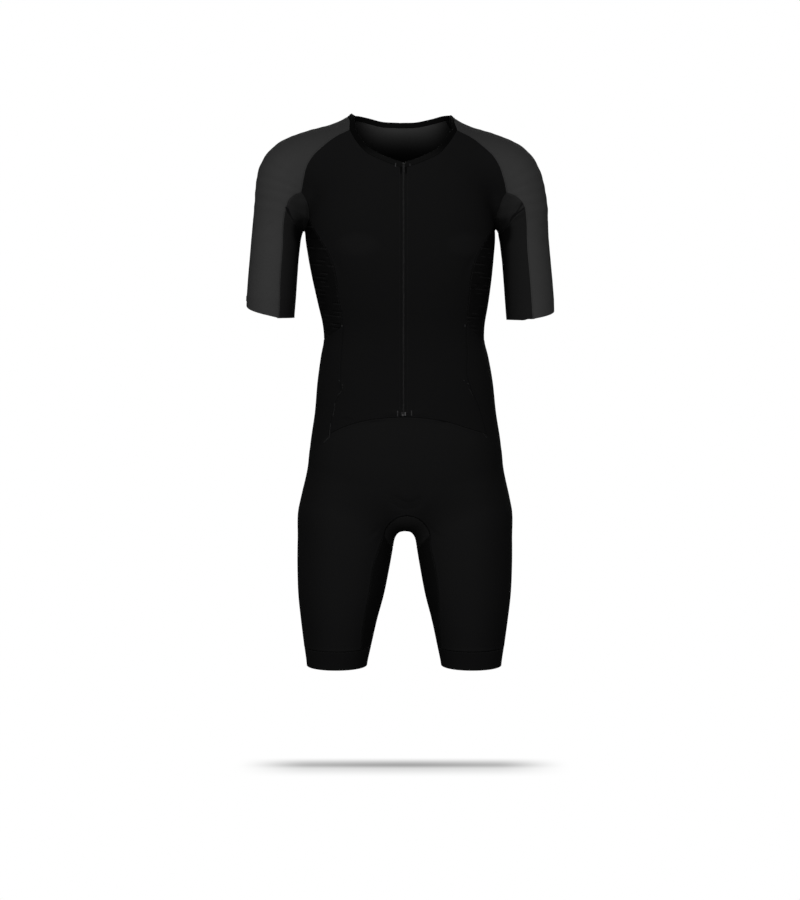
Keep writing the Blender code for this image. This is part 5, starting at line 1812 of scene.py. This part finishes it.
@dataclass
class Sleeves:
    """Both sleeves: the grey raglan, its black underside and the armpit gusset."""

    plans: dict[Side, SeamPlan]
    pieces: list[Panel] = field(default_factory=list)

    def build(self) -> list[Panel]:
        """Cuts and sews the sleeves' panels, right and left."""
        for side, s in self.plans.items():
            name = side.name.lower()
            fore = join(s.raglan, s.cap, s.under)
            aft = join(s.raglan_back, s.cap_back, s.under_back)
            outer = patch(s.neck_fore, s.hem_fore, fore, s.ridge)[:, ::-1]
            behind = patch(s.neck_aft, s.hem_aft, s.ridge, aft)
            hems = (s.hem_fore, s.hem_aft, s.hem_under)
            under = patch(s.arm_pit, s.hem_under, s.under, s.under_back)
            gusset = patch(
                join(s.edge[::-1], s.cap), join(s.edge_back[::-1], s.cap_back), s.pit, s.arm_pit
            )
            self.pieces += [
                Panel(f"sleeve_{name}", [outer, behind], SLEEVE_KNIT, SLEEVE_RELIEF, hems),
                Panel(f"under_sleeve_{name}", [under], UNDER_KNIT, SLEEVE_RELIEF, hems, middle=True),
                Panel(f"underarm_gusset_{name}", [gusset], GUSSET_KNIT, PIT_RELIEF, inset=PIT_INSET,
                      middle=True),
            ]
        return self.pieces

    def tab(self) -> bpy.types.Object:
        """The small plain black tab folded over the right sleeve's outer edge, near its hem.

        A flat strip with rounded edges carried a short way along the arm's ridge line.
        """
        line = self.plans[Side.RIGHT].ridge
        heights = np.linspace(-0.3055, -0.297, 9)
        order = np.argsort(line[:, 2])
        spots = read_line(line[order], line[order, 2], heights)
        profile = rounded_box(0.0038, -0.0004, 0.0006, 0.0004)
        return put_piece("sleeve_tab", sweep(FORM.settle(spots), profile), TAB_WEAVE)


@dataclass
class Body:
    """The fronts, the back, the yoke and the side panels."""

    plans: dict[Side, SeamPlan]
    pieces: list[Panel] = field(default_factory=list)

    def build(self) -> list[Panel]:
        """Cuts and sews the body's panels."""
        for side, s in self.plans.items():
            name = side.name.lower()
            rail = join(s.raglan, s.edge, s.mesh, s.hip)
            front = patch(s.neck[::-1], s.waist_cut[::-1], rail, s.zip)
            mesh = patch(s.pit, s.mesh_foot, s.mesh, s.mesh_back)
            foot = join(s.waist_fore, s.waist_aft)
            lower = patch(s.mesh_foot, foot, s.hip, s.hip_back)
            self.pieces += [
                Panel(f"front_{name}", [front], FRONT_KNIT, TRUNK_RELIEF, (s.zip,)),
                Panel(f"side_mesh_{name}", [mesh], SIDE_MESH, TRUNK_RELIEF, middle=True),
                Panel(f"side_lower_{name}", [lower], FRONT_KNIT, TRUNK_RELIEF, middle=True, roll=0.0005),
            ]
        right, left = self.plans[Side.RIGHT], self.plans[Side.LEFT]
        rails = [
            join(s.raglan_back[N_YOKE:], s.edge_back, s.mesh_back, s.hip_back) for s in (right, left)
        ]
        yoke_foot = join(right.yoke[::-1], left.yoke)
        yoke = patch(
            join(right.nape[::-1], left.nape), yoke_foot,
            right.raglan_back[:N_YOKE + 1], left.raglan_back[:N_YOKE + 1],
        )
        back = patch(yoke_foot, join(right.waist_back[::-1], left.waist_back), *rails)
        self.pieces += [
            Panel("back_yoke", [yoke], SLEEVE_KNIT, SMOOTH, middle=True, inside=INNER_YOKE),
            Panel("back_body", [back], FRONT_KNIT, TRUNK_RELIEF, middle=True),
        ]
        return self.pieces


@dataclass
class Shorts:
    """The shorts: front and back, inner thighs, crotch gusset and leg bands."""

    plans: dict[Side, SeamPlan]
    pieces: list[Panel] = field(default_factory=list)

    def build(self) -> list[Panel]:
        """Cuts and sews the shorts' panels."""
        fronts, backs = [], []
        for side, s in self.plans.items():
            name = side.name.lower()
            inner = join(s.middle, s.arch, s.thigh)
            fronts.append(patch(join(s.waist, s.waist_fore), s.band_fore, inner, s.leg_side))
            inner = join(s.middle_back, s.arch_back, s.thigh_back)
            backs.append(
                patch(join(s.waist_back, s.waist_aft[::-1]), s.band_aft[::-1], inner, s.leg_side)
            )
            thigh = patch(s.crotch, s.band_inner, s.thigh, s.thigh_back)
            self.pieces += [
                Panel(f"inner_thigh_{name}", [thigh], THIGH_KNIT, SHORTS_RELIEF, middle=True),
                self.band(name, s),
            ]
        right, left = self.plans[Side.RIGHT], self.plans[Side.LEFT]
        crotch = patch(
            join(right.arch[::-1], left.arch), join(right.arch_back[::-1], left.arch_back),
            right.crotch, left.crotch,
        )
        self.pieces += [
            Panel("shorts_front", fronts, SHORTS_KNIT, SHORTS_RELIEF, roll=0.0007),
            Panel("shorts_back", backs, SHORTS_KNIT, SHORTS_RELIEF, roll=0.0007),
            Panel("crotch_gusset", [crotch], CROTCH_KNIT, SMOOTH, middle=True),
        ]
        return self.pieces

    @staticmethod
    def band(name: str, s: SeamPlan) -> Panel:
        """A leg band: a ring from the leg's seam straight down the form to the hem.

        Args:
            name: Its side's name.
            s: Its side's seams.

        Returns:
            The panel.
        """
        top = join(s.band_fore, s.band_aft, s.band_inner[::-1])[:-1]
        steps = np.concatenate([[0.0, 0.02, 0.05, 0.09], np.linspace(0.14, 0.92, 3 * FINE), [0.97, 1.0]])
        rows = []
        for share in steps:
            row = top.copy()
            row[:, 2] = LEG_SEAM + (LEG_HEM - LEG_SEAM) * share
            row = FORM.settle(row, 5)
            row[:, 2] = LEG_SEAM + (LEG_HEM - LEG_SEAM) * share
            rows.append(FORM.settle(row, 2))
        rows[0] = top
        return Panel(
            f"leg_band_{name}", [np.stack(rows)], BAND_KNIT, SMOOTH,
            hems=(rows[-1],), wall=BAND_WALL, lift=0.0001, ring=True,
        )


class ZipFrame:
    """Local frame on the zip's line: x across, d out of the cloth, t up the zip."""

    def __init__(self, height: float) -> None:
        """Sets the frame at a height of the zip."""
        x = np.full(3, FRONT_MID)
        spots = FORM.sight(x, np.array([height, height - 0.004, height + 0.004]), Face.FRONT)
        self.origin = spots[0]
        self.out = FORM.outward(spots[:1])[0][0]
        across = np.cross(self.out, spots[2] - spots[1])
        self.across = across / np.linalg.norm(across) * np.sign(across[0])
        self.up = np.cross(self.across, self.out)
        self.up *= np.sign(self.up[2])

    def at(self, x: Array, d: Array, t: Array) -> Array:
        """Points in space from local x, d and t."""
        x, d, t = np.broadcast_arrays(x, d, t)
        return self.origin + x[..., None] * self.across + d[..., None] * self.out + t[..., None] * self.up

    def bar(self, profile: Array, half: float, low: float | None = None) -> tuple[Array, list]:
        """A bar across the zip, rounded a little at both ends.

        Args:
            profile: Points (d, t) round its section.
            half: Where it ends to the left.
            low: Where it ends to the right, if not as far out.

        Returns:
            Points and faces.
        """
        low = -half if low is None else low
        cut = min(0.00018, (half - low) / 4)
        places = np.array([low, low + cut * 0.3, low + cut, half - cut, half - cut * 0.3, half])
        shrink = np.array([cut, cut * 0.3, 0.0, 0.0, cut * 0.3, cut])
        middle = profile.mean(0)
        arm = profile - middle
        size = np.linalg.norm(arm, axis=1, keepdims=True)
        thin = middle + arm[None] * (1 - shrink[:, None, None] / np.maximum(size, 1e-5)[None])
        rings = self.at(places[:, None], thin[..., 0], thin[..., 1])
        return ring_faces(rings)


@dataclass
class Zip:
    """The front zip: tape, coil, slider with its pull tab, and the stop at the foot."""

    half: float = 0.0027
    thick: float = 0.0022
    long: float = 0.0066
    pin_height: float = 0.0021
    eye: float = 0.0008
    tab_long: float = 0.0125
    tab_half: float = 0.0017
    tab_thick: float = 0.001
    lean: float = 22.0
    tooth: float = 0.00125

    @property
    def face(self) -> float:
        """Height of the slider's foot over the cloth."""
        return CHAIN_PROUD + 0.0003

    @property
    def pin(self) -> float:
        """Height of the pin's axis over the cloth."""
        return self.face + self.thick + self.pin_height

    def line(self, high: float, low: float, count: int) -> Array:
        """The zip's line between two heights."""
        z = np.linspace(high, low, count + 1)
        return FORM.sight(np.full(count + 1, FRONT_MID), z, Face.FRONT)

    def tape(self) -> bpy.types.Object:
        """The woven tape behind both fronts: a flat strip with a rounded cord along its middle."""
        line = self.line(NECK_FRONT + 0.007, WAIST_FRONT + 0.0012, 90)
        profile = np.array([
            (-0.0119, -0.0024), (-0.0024, -0.0024), (-0.002, -0.0006), (-0.0011, -0.0001),
            (0.0, 0.0), (0.0011, -0.0001), (0.002, -0.0006), (0.0024, -0.0024),
            (0.0119, -0.0024), (0.0119, -0.003), (-0.0119, -0.003),
        ])
        return put_piece("zip_tape_strip", sweep(line, profile), ZIP_WEAVE, "zip_tape")

    def coil(self) -> bpy.types.Object:
        """Two rows of coil turns: short thick capsules across the chain, each row half a step off."""
        line = self.line(NECK_FRONT + 0.003, WAIST_FRONT + 0.0025, 300)
        rows = [
            StitchRow(line, side * 0.0008, self.tooth, 0.00165, 0.0004, math.radians(90 - 14 * side),
                      (0.0006 if side > 0 else 0.0006 + self.tooth / 2, 0.0002))
            for side in (-1, 1)
        ]
        return put_rows("zip_coil", rows, Relief((), -0.00018, 0.01), ZIP_NYLON)

    def slider(self) -> bpy.types.Object:
        """The slider: a rounded plate over the chain, two ears with a bridge's pin between them."""
        at = ZipFrame(SLIDER_AT)
        top, half = self.face + self.thick, self.long / 2
        turn = np.linspace(0, 2 * np.pi, 16, endpoint=False)
        plate = rounded_box(half, self.face, top, 0.0007)[:, ::-1]
        ear = np.array([
            (top - 0.0004, -0.0019), (top + 0.0007, -0.0016), (self.pin + 0.0003, -0.0009),
            (self.pin + 0.0008, -0.0004), (self.pin + 0.0009, 0.0), (self.pin + 0.0008, 0.0004),
            (self.pin + 0.0003, 0.0009), (top + 0.0007, 0.0016), (top - 0.0004, 0.0019),
        ])
        rod = np.column_stack([self.pin + 0.00045 * np.cos(turn), 0.00045 * np.sin(turn)])
        inner, outer = self.tab_half + 0.0003, self.half - 0.0001
        parts = [
            at.bar(plate, self.half), at.bar(ear, outer, inner), at.bar(ear, -inner, -outer),
            at.bar(rod, inner + 0.0003),
        ]
        return put_piece("zip_slider_body", merge(parts), ZIP_PAINT, "zip_slider", smooth=False)

    def tab(self) -> bpy.types.Object:
        """The pull tab: a strip rolled round the pin, with grip ribs near its tip."""
        at = ZipFrame(SLIDER_AT)
        outer = self.eye + 0.0006
        turn = np.radians(np.linspace(-55, 235, 22))
        ring = np.column_stack([np.cos(turn), np.sin(turn)])
        lean = math.radians(self.lean)
        down = np.array([-math.sin(lean), -math.cos(lean)])
        over = np.array([math.cos(lean), -math.sin(lean)])
        start = outer * np.array([math.cos(math.radians(-55)), math.sin(math.radians(-55))])
        tip = start + down * self.tab_long
        share = np.linspace(0, 1, 45)
        wave = 0.00022 * np.maximum(np.sin(share * 9 * 2 * np.pi), 0) * (share > 0.44) * (share < 0.9)
        top = start + down * (share * (self.tab_long - 0.0006))[:, None] + over * (wave - 0.0002)[:, None]
        tail = np.vstack([
            top[1:], tip - over * 0.0004, tip - over * (self.tab_thick - 0.0003),
            tip - over * self.tab_thick - down * 0.0006, start - over * self.tab_thick + down * 0.0003,
        ])
        profile = np.vstack([ring[::-1] * outer, tail, ring * self.eye]) + np.array([self.pin, 0.0])
        places = np.array([-self.tab_half, self.tab_half])
        shape = ring_faces(at.at(places[:, None], profile[None, :, 0], profile[None, :, 1]))
        thing = put_piece("zip_tab", shape, ZIP_PAINT, "zip_pull_tab", smooth=False, body="pull_tab")
        bevel = thing.modifiers.new("edges", "BEVEL")
        bevel.width, bevel.segments, bevel.limit_method = 0.00012, 2, "ANGLE"
        return thing

    def stop(self) -> bpy.types.Object:
        """The stop: a small dark moulded box."""
        at = ZipFrame(STOP_AT)
        low = CHAIN_PROUD + 0.0003
        body = rounded_box(0.0035, low - 0.0002, low + 0.002, 0.0006)[:, ::-1]
        return put_piece("zip_stop_box", at.bar(body, 0.004), ZIP_PAINT, "zip_box", smooth=False)

    def lugs(self) -> bpy.types.Object:
        """The two pale lugs moulded on the stop, the wearer's right one lower and shorter."""
        at = ZipFrame(STOP_AT)
        low = CHAIN_PROUD + 0.0019
        parts = []
        for left, right, foot, head in (
            (-0.0019, -0.0001, -0.0034, -0.0004), (0.0018, 0.0037, -0.003, 0.0031),
        ):
            block = rounded_box((head - foot) / 2, low, low + 0.0009, 0.0003)[:, ::-1]
            block[:, 1] += (head + foot) / 2
            parts.append(at.bar(block, right, left))
        return put_piece("zip_stop_lugs", merge(parts), ZIP_STOP, smooth=False)

    def tacks(self) -> bpy.types.Object:
        """Satin bar tacks at both ends of the zip: rows of short threads laid side by side."""
        rows = [
            StitchRow(FORM.mark(x, head, x, foot), 0.0, 0.00042, 0.0017, 0.00026, math.radians(80))
            for x, head, foot in (
                (-0.0112, -0.0868, -0.093), (0.0117, -0.088, -0.091),
                (-0.0078, -0.479, -0.488), (0.0142, -0.479, -0.4868),
            )
        ]
        return put_rows("zip_tacks", rows, Relief(BODY_CREASES, -0.0001, 0.01), SATIN_THREAD)


@dataclass
class Trim:
    """The neck binding, the tapes inside the seams and all the rows of stitches."""

    plans: dict[Side, SeamPlan]
    off: float = 0.0018
    tape_half: float = 0.0033

    def binding(self) -> bpy.types.Object:
        """The neck binding: a folded tape standing on the neck seam, open at the zip.

        The section has six flat knots and rounded turns: foot, belly and crest outside, and the
        same inside, with a shallow channel where its stitches pull it in.

        Returns:
            The piece.
        """
        r, left = self.plans[Side.RIGHT], self.plans[Side.LEFT]
        loop = join(
            r.neck, r.neck_fore, r.neck_aft, r.nape[::-1],
            left.nape, left.neck_aft[::-1], left.neck_fore[::-1], left.neck[::-1],
        )
        way, _ = FORM.outward(loop)
        run = np.gradient(loop, axis=0)
        run /= np.linalg.norm(run, axis=1, keepdims=True)
        up = np.cross(way, run)
        up *= np.sign(up[len(up) // 2, 2])
        up /= np.linalg.norm(up, axis=1, keepdims=True)
        shares = (0.0, 0.1, 0.22, 0.3, 0.4, 0.6, 0.82, 0.95, 1.0)
        outer = (-0.0002, 0.0003, 0.0003, -0.0002, 0.0004, 0.0007, 0.0006, 0.0001, -0.0006)
        inner = (-0.0014, -0.0017, -0.0017, -0.0015, -0.0016, -0.0016, -0.0016, -0.0014, -0.0009)
        lines = []
        for share in shares:
            line = FORM.settle(loop + up * (0.0001 + BINDING_WIDTH * share))
            for end, side in ((0, -1), (-1, 1)):
                x = np.array([FRONT_MID + side * (CHAIN_HALF + 0.0003)])
                line[end] = FORM.sight(x, np.array([loop[end, 2] + BINDING_WIDTH * share]), Face.FRONT)[0]
            lines.append(line)
        rings = [
            line + lift * FORM.outward(line)[0]
            for line, lift in zip(lines + lines[::-1], outer + inner[::-1])
        ]
        points, faces = ring_faces(np.stack(rings, 1))
        thing = put_piece("neck_binding_tape", (points, faces), BINDING_KNIT, "neck_binding")
        run = run_of(loop)
        size = len(rings)
        place = np.stack([np.repeat(run, size), np.tile(np.arange(size) * 0.0011, len(loop))], 1)
        put_uv(thing, place[np.concatenate([np.array(face) for face in faces])])
        return thing

    def inside(self) -> bpy.types.Object:
        """Flat sewn-down allowances behind the seams: a thin rounded strip along each."""
        profile = rounded_box(self.tape_half, -WALL - 0.00055, -WALL + 0.00005, 0.00022, 2)
        lines = []
        for s in self.plans.values():
            lines += self.long_seams(s) + [s.pit, s.arm_pit, s.mesh_foot]
        r, left = self.plans[Side.RIGHT], self.plans[Side.LEFT]
        for name in ("yoke", "waist_back", "waist", "arch", "arch_back"):
            lines.append(join(getattr(r, name)[::-1], getattr(left, name)))
        parts = [sweep(line, profile) for line in lines]
        return put_piece("seam_allowances", merge(parts), TAPE_THREAD)

    @staticmethod
    def long_seams(s: SeamPlan) -> list[Array]:
        """The seams that run down one side."""
        band = join(s.band_fore, s.band_aft, s.band_inner[::-1])
        return [
            join(s.raglan, s.cap, s.under), join(s.raglan_back, s.cap_back, s.under_back),
            join(s.edge, s.mesh, s.hip), join(s.edge_back, s.mesh_back, s.hip_back),
            s.thigh, s.thigh_back, s.crotch, s.waist_fore, s.waist_aft, s.leg_side, band,
        ]

    def tonal_rows(self) -> list[StitchRow]:
        """Rows of black thread beside the main seams."""
        rows, o = [], self.off
        for side, s in self.plans.items():
            band = join(s.band_fore, s.band_aft, s.band_inner[::-1])
            inward = (s.raglan, s.raglan_back, s.edge, s.edge_back)
            one_row = (s.crotch, s.leg_side, s.waist_fore, s.waist_aft, s.mesh_foot)
            two_rows = (
                s.under, s.under_back, s.mesh, s.mesh_back, s.thigh, s.thigh_back,
                s.arch, s.arch_back, s.waist, s.waist_back, s.yoke, band,
            )
            rows += [StitchRow(line, o * side.value) for line in inward]
            rows += [StitchRow(line, o) for line in one_row]
            rows += [StitchRow(line, off) for line in two_rows for off in (o, -o)]
            rows.append(StitchRow(s.zip, side.value * 0.0042, skip=(0.004, 0.003)))
        return rows

    def grey_rows(self) -> list[StitchRow]:
        """Rows of dark grey thread: the gussets' edges and the hip seams."""
        rows = []
        for side, s in self.plans.items():
            o = self.off * side.value
            rows += [StitchRow(line, -o) for line in (s.cap, s.cap_back)]
            rows += [StitchRow(line, o) for line in (s.arm_pit, s.hip, s.hip_back)]
        return rows

    def seam_shadow_rows(self) -> list[StitchRow]:
        """Dark cords of painted shadow along the waist seam, round the crotch gusset's front and over the
        bands.
        """
        return [
            StitchRow(line, 0.0, 0.002, 0.0024, radius)
            for s in self.plans.values()
            for line, radius in ((s.waist, 0.00055), (s.arch, 0.0008), (s.band_fore, 0.0006))
        ]

    def hip_tacks(self) -> list[StitchRow]:
        """Faint broken zigzags down both hips and a dot tack at each side panel's foot."""
        zigzags = [StitchRow(FORM.mark(*ends), 0.0, 0.0022, 0.003, 0.00028, 0.5) for ends in (
            (-0.1014, -0.4316, -0.1006, -0.433), (-0.0962, -0.438, -0.0958, -0.4444),
            (-0.0976, -0.4493, -0.1038, -0.4557), (-0.1085, -0.4687, -0.1116, -0.4897),
            (-0.1155, -0.501, -0.1179, -0.5236), (-0.1179, -0.5236, -0.1272, -0.5333),
            (0.098, -0.4312, 0.0988, -0.4324), (0.1045, -0.4362, 0.1053, -0.4374),
            (0.1065, -0.4452, 0.113, -0.4569), (0.1293, -0.517, 0.1359, -0.5253),
        )]
        dots = [
            StitchRow(FORM.mark(x, -0.3425, x, -0.3462, 8), 0.0, 0.0005, 0.0026, 0.0003, 1.4)
            for x in (FRONT_MID - 0.0984, FRONT_MID + 0.0984)
        ]
        return zigzags + dots

    def build(self) -> list[bpy.types.Object]:
        """Makes every piece of trim."""
        relief = Relief(BODY_CREASES + PIT_FOLDS + SHORTS_CREASES)
        return [
            self.binding(),
            self.inside(),
            put_rows("black_stitches", self.tonal_rows(), relief, DARK_THREAD),
            put_rows("grey_stitches", self.grey_rows(), relief, GREY_THREAD),
            put_rows("hip_tacks", self.hip_tacks(), Relief(BODY_CREASES, -0.0001, 0.01), GREY_THREAD),
            put_rows("seam_shade", self.seam_shadow_rows(), relief, SEAM_SHADOW_CORD),
        ]


@dataclass(frozen=True)
class Studio:
    """A plain pale floor and soft lights before, behind and round the suit, and the camera."""

    floor: float = -1.0735
    camera_at: tuple[float, float, float] = (-0.0041, -3.589, -0.2669)
    aim: tuple[float, float, float] = (-0.0041, 0.0, -0.5494)
    lens: float = 87.8
    below: float = 0.1  # strength of the surround's light from below and from above
    above: float = 0.42
    key: float = 94.0
    fill: float = 60.0

    def build(self) -> None:
        """Sets the stage."""
        scene = bpy.context.scene
        scene.view_settings.view_transform = "Standard"
        scene.view_settings.look = "None"
        self.sky()
        self.ground()
        self.area("front_light", (-0.3, -3.2, 0.9), (0.0, 0.0, -0.45), (2.6, 2.2), self.key)
        self.area("back_light", (0.3, 3.2, 0.9), (0.0, 0.0, -0.45), (2.6, 2.2), self.fill)
        self.camera()

    def sky(self) -> None:
        """A white surround for the eye; its light on the suit is softer and falls off downwards."""
        world = bpy.data.worlds.new("studio")
        world.use_nodes = True
        tree = world.node_tree
        back = tree.nodes["Background"]
        place = tree.nodes.new("ShaderNodeTexCoord")
        split = tree.nodes.new("ShaderNodeSeparateXYZ")
        tree.links.new(place.outputs["Generated"], split.inputs[0])
        height = tree.nodes.new("ShaderNodeMapRange")
        height.interpolation_type = "SMOOTHSTEP"
        reach = {"From Min": -0.7, "From Max": 0.6, "To Min": self.below, "To Max": self.above}
        for name, value in reach.items():
            height.inputs[name].default_value = value
        tree.links.new(split.outputs["Z"], height.inputs["Value"])
        path = tree.nodes.new("ShaderNodeLightPath")
        level = tree.nodes.new("ShaderNodeMapRange")
        level.inputs["To Max"].default_value = 1.0
        tree.links.new(height.outputs[0], level.inputs["To Min"])
        tree.links.new(path.outputs["Is Camera Ray"], level.inputs["Value"])
        tree.links.new(level.outputs[0], back.inputs["Strength"])
        back.inputs["Color"].default_value = (1.0, 1.0, 1.0, 1.0)
        bpy.context.scene.world = world

    def ground(self) -> None:
        """A wide white floor with the suit's soft shade painted on it.

        The shade is 0.6 of the light along an oblong under the suit, eased out over a few
        centimetres to both sides, to the back and, over a longer way, to the front.
        """
        points = np.array([(-14, -14, 0), (14, -14, 0), (14, 14, 0), (-14, 14, 0)], float)
        points[:, 2] = self.floor
        floor = put_mesh("floor", points, [(0, 1, 2, 3)])
        shader = Shader("floor_white")
        x, y, _ = shader.place()
        x = abs(x)
        across = (1.0 - x.eased(0.15, 0.282)) * 0.82 + (1.0 - x.eased(0.0, 0.21)) * 0.18
        back = 1.0 - y.eased(-0.002, 0.06)
        front = (1.0 - (-y).eased(0.0, 0.03)) * 0.45 + (1.0 - (-y).eased(0.004, 0.094)) * 0.55
        shader.feed(
            shader.main.inputs["Emission Color"],
            shader.between(across * back * front, (1.0,) * 3, (0.385,) * 3),
        )
        shader.plain(Roughness=1.0, Specular_IOR_Level=0.0, Emission_Strength=1.0)
        shader.main.inputs["Base Color"].default_value = (0.0, 0.0, 0.0, 1.0)
        floor.data.materials.append(shader.material)
        floor.visible_diffuse = False
        floor.visible_glossy = False

    @staticmethod
    def area(name: str, at: tuple, aim: tuple, size: tuple, power: float) -> bpy.types.Object:
        """An oblong area light aimed at a point.

        Args:
            name: Its name.
            at: Where it stands.
            aim: The point.
            size: Width and height.
            power: Power in watts.

        Returns:
            The light.
        """
        data = bpy.data.lights.new(name, "AREA")
        data.shape = "RECTANGLE"
        data.size, data.size_y = size
        data.energy = power
        light = bpy.data.objects.new(name, data)
        way = np.array(aim, float) - np.array(at, float)
        light.location = at
        lean = math.atan2(math.hypot(way[0], way[1]), -way[2])
        light.rotation_euler = (lean, 0.0, math.atan2(-way[0], way[1]))
        bpy.context.scene.collection.objects.link(light)
        return light

    def camera(self) -> None:
        """The camera, level across and tilted a little down."""
        data = bpy.data.cameras.new("camera")
        data.lens = self.lens
        data.sensor_fit = "VERTICAL"
        data.sensor_height = 36.0
        data.clip_end = 60.0
        camera = bpy.data.objects.new("camera", data)
        way = np.array(self.aim) - np.array(self.camera_at)
        camera.location = self.camera_at
        camera.rotation_euler = (math.atan2(way[1], -way[2]), 0.0, 0.0)
        bpy.context.scene.collection.objects.link(camera)
        bpy.context.scene.camera = camera


def main() -> None:
    """Builds the suit part by part, then the studio, and reports each piece."""
    logging.basicConfig(level=logging.INFO, format="%(name)s: %(message)s")
    Studio().build()
    plans = {side: SeamPlan(side) for side in Side}
    panels = Body(plans).build() + Sleeves(plans).build() + Shorts(plans).build()
    sheets = [(panel, panel.build()) for panel in panels]
    zipper = Zip()
    zip_pieces = [zipper.tape(), zipper.coil(), zipper.slider(), zipper.tab(), zipper.stop(), zipper.lugs(),
                  zipper.tacks()]
    trim = Trim(plans).build()
    tab = Sleeves(plans).tab()
    for thing in [*(t for _, t in sheets), *zip_pieces, *trim, tab]:
        mesh = thing.data
        LOG.info("%s: %d vertices, %d faces", thing.name, len(mesh.vertices), len(mesh.polygons))


if __name__ == "__main__":
    main()
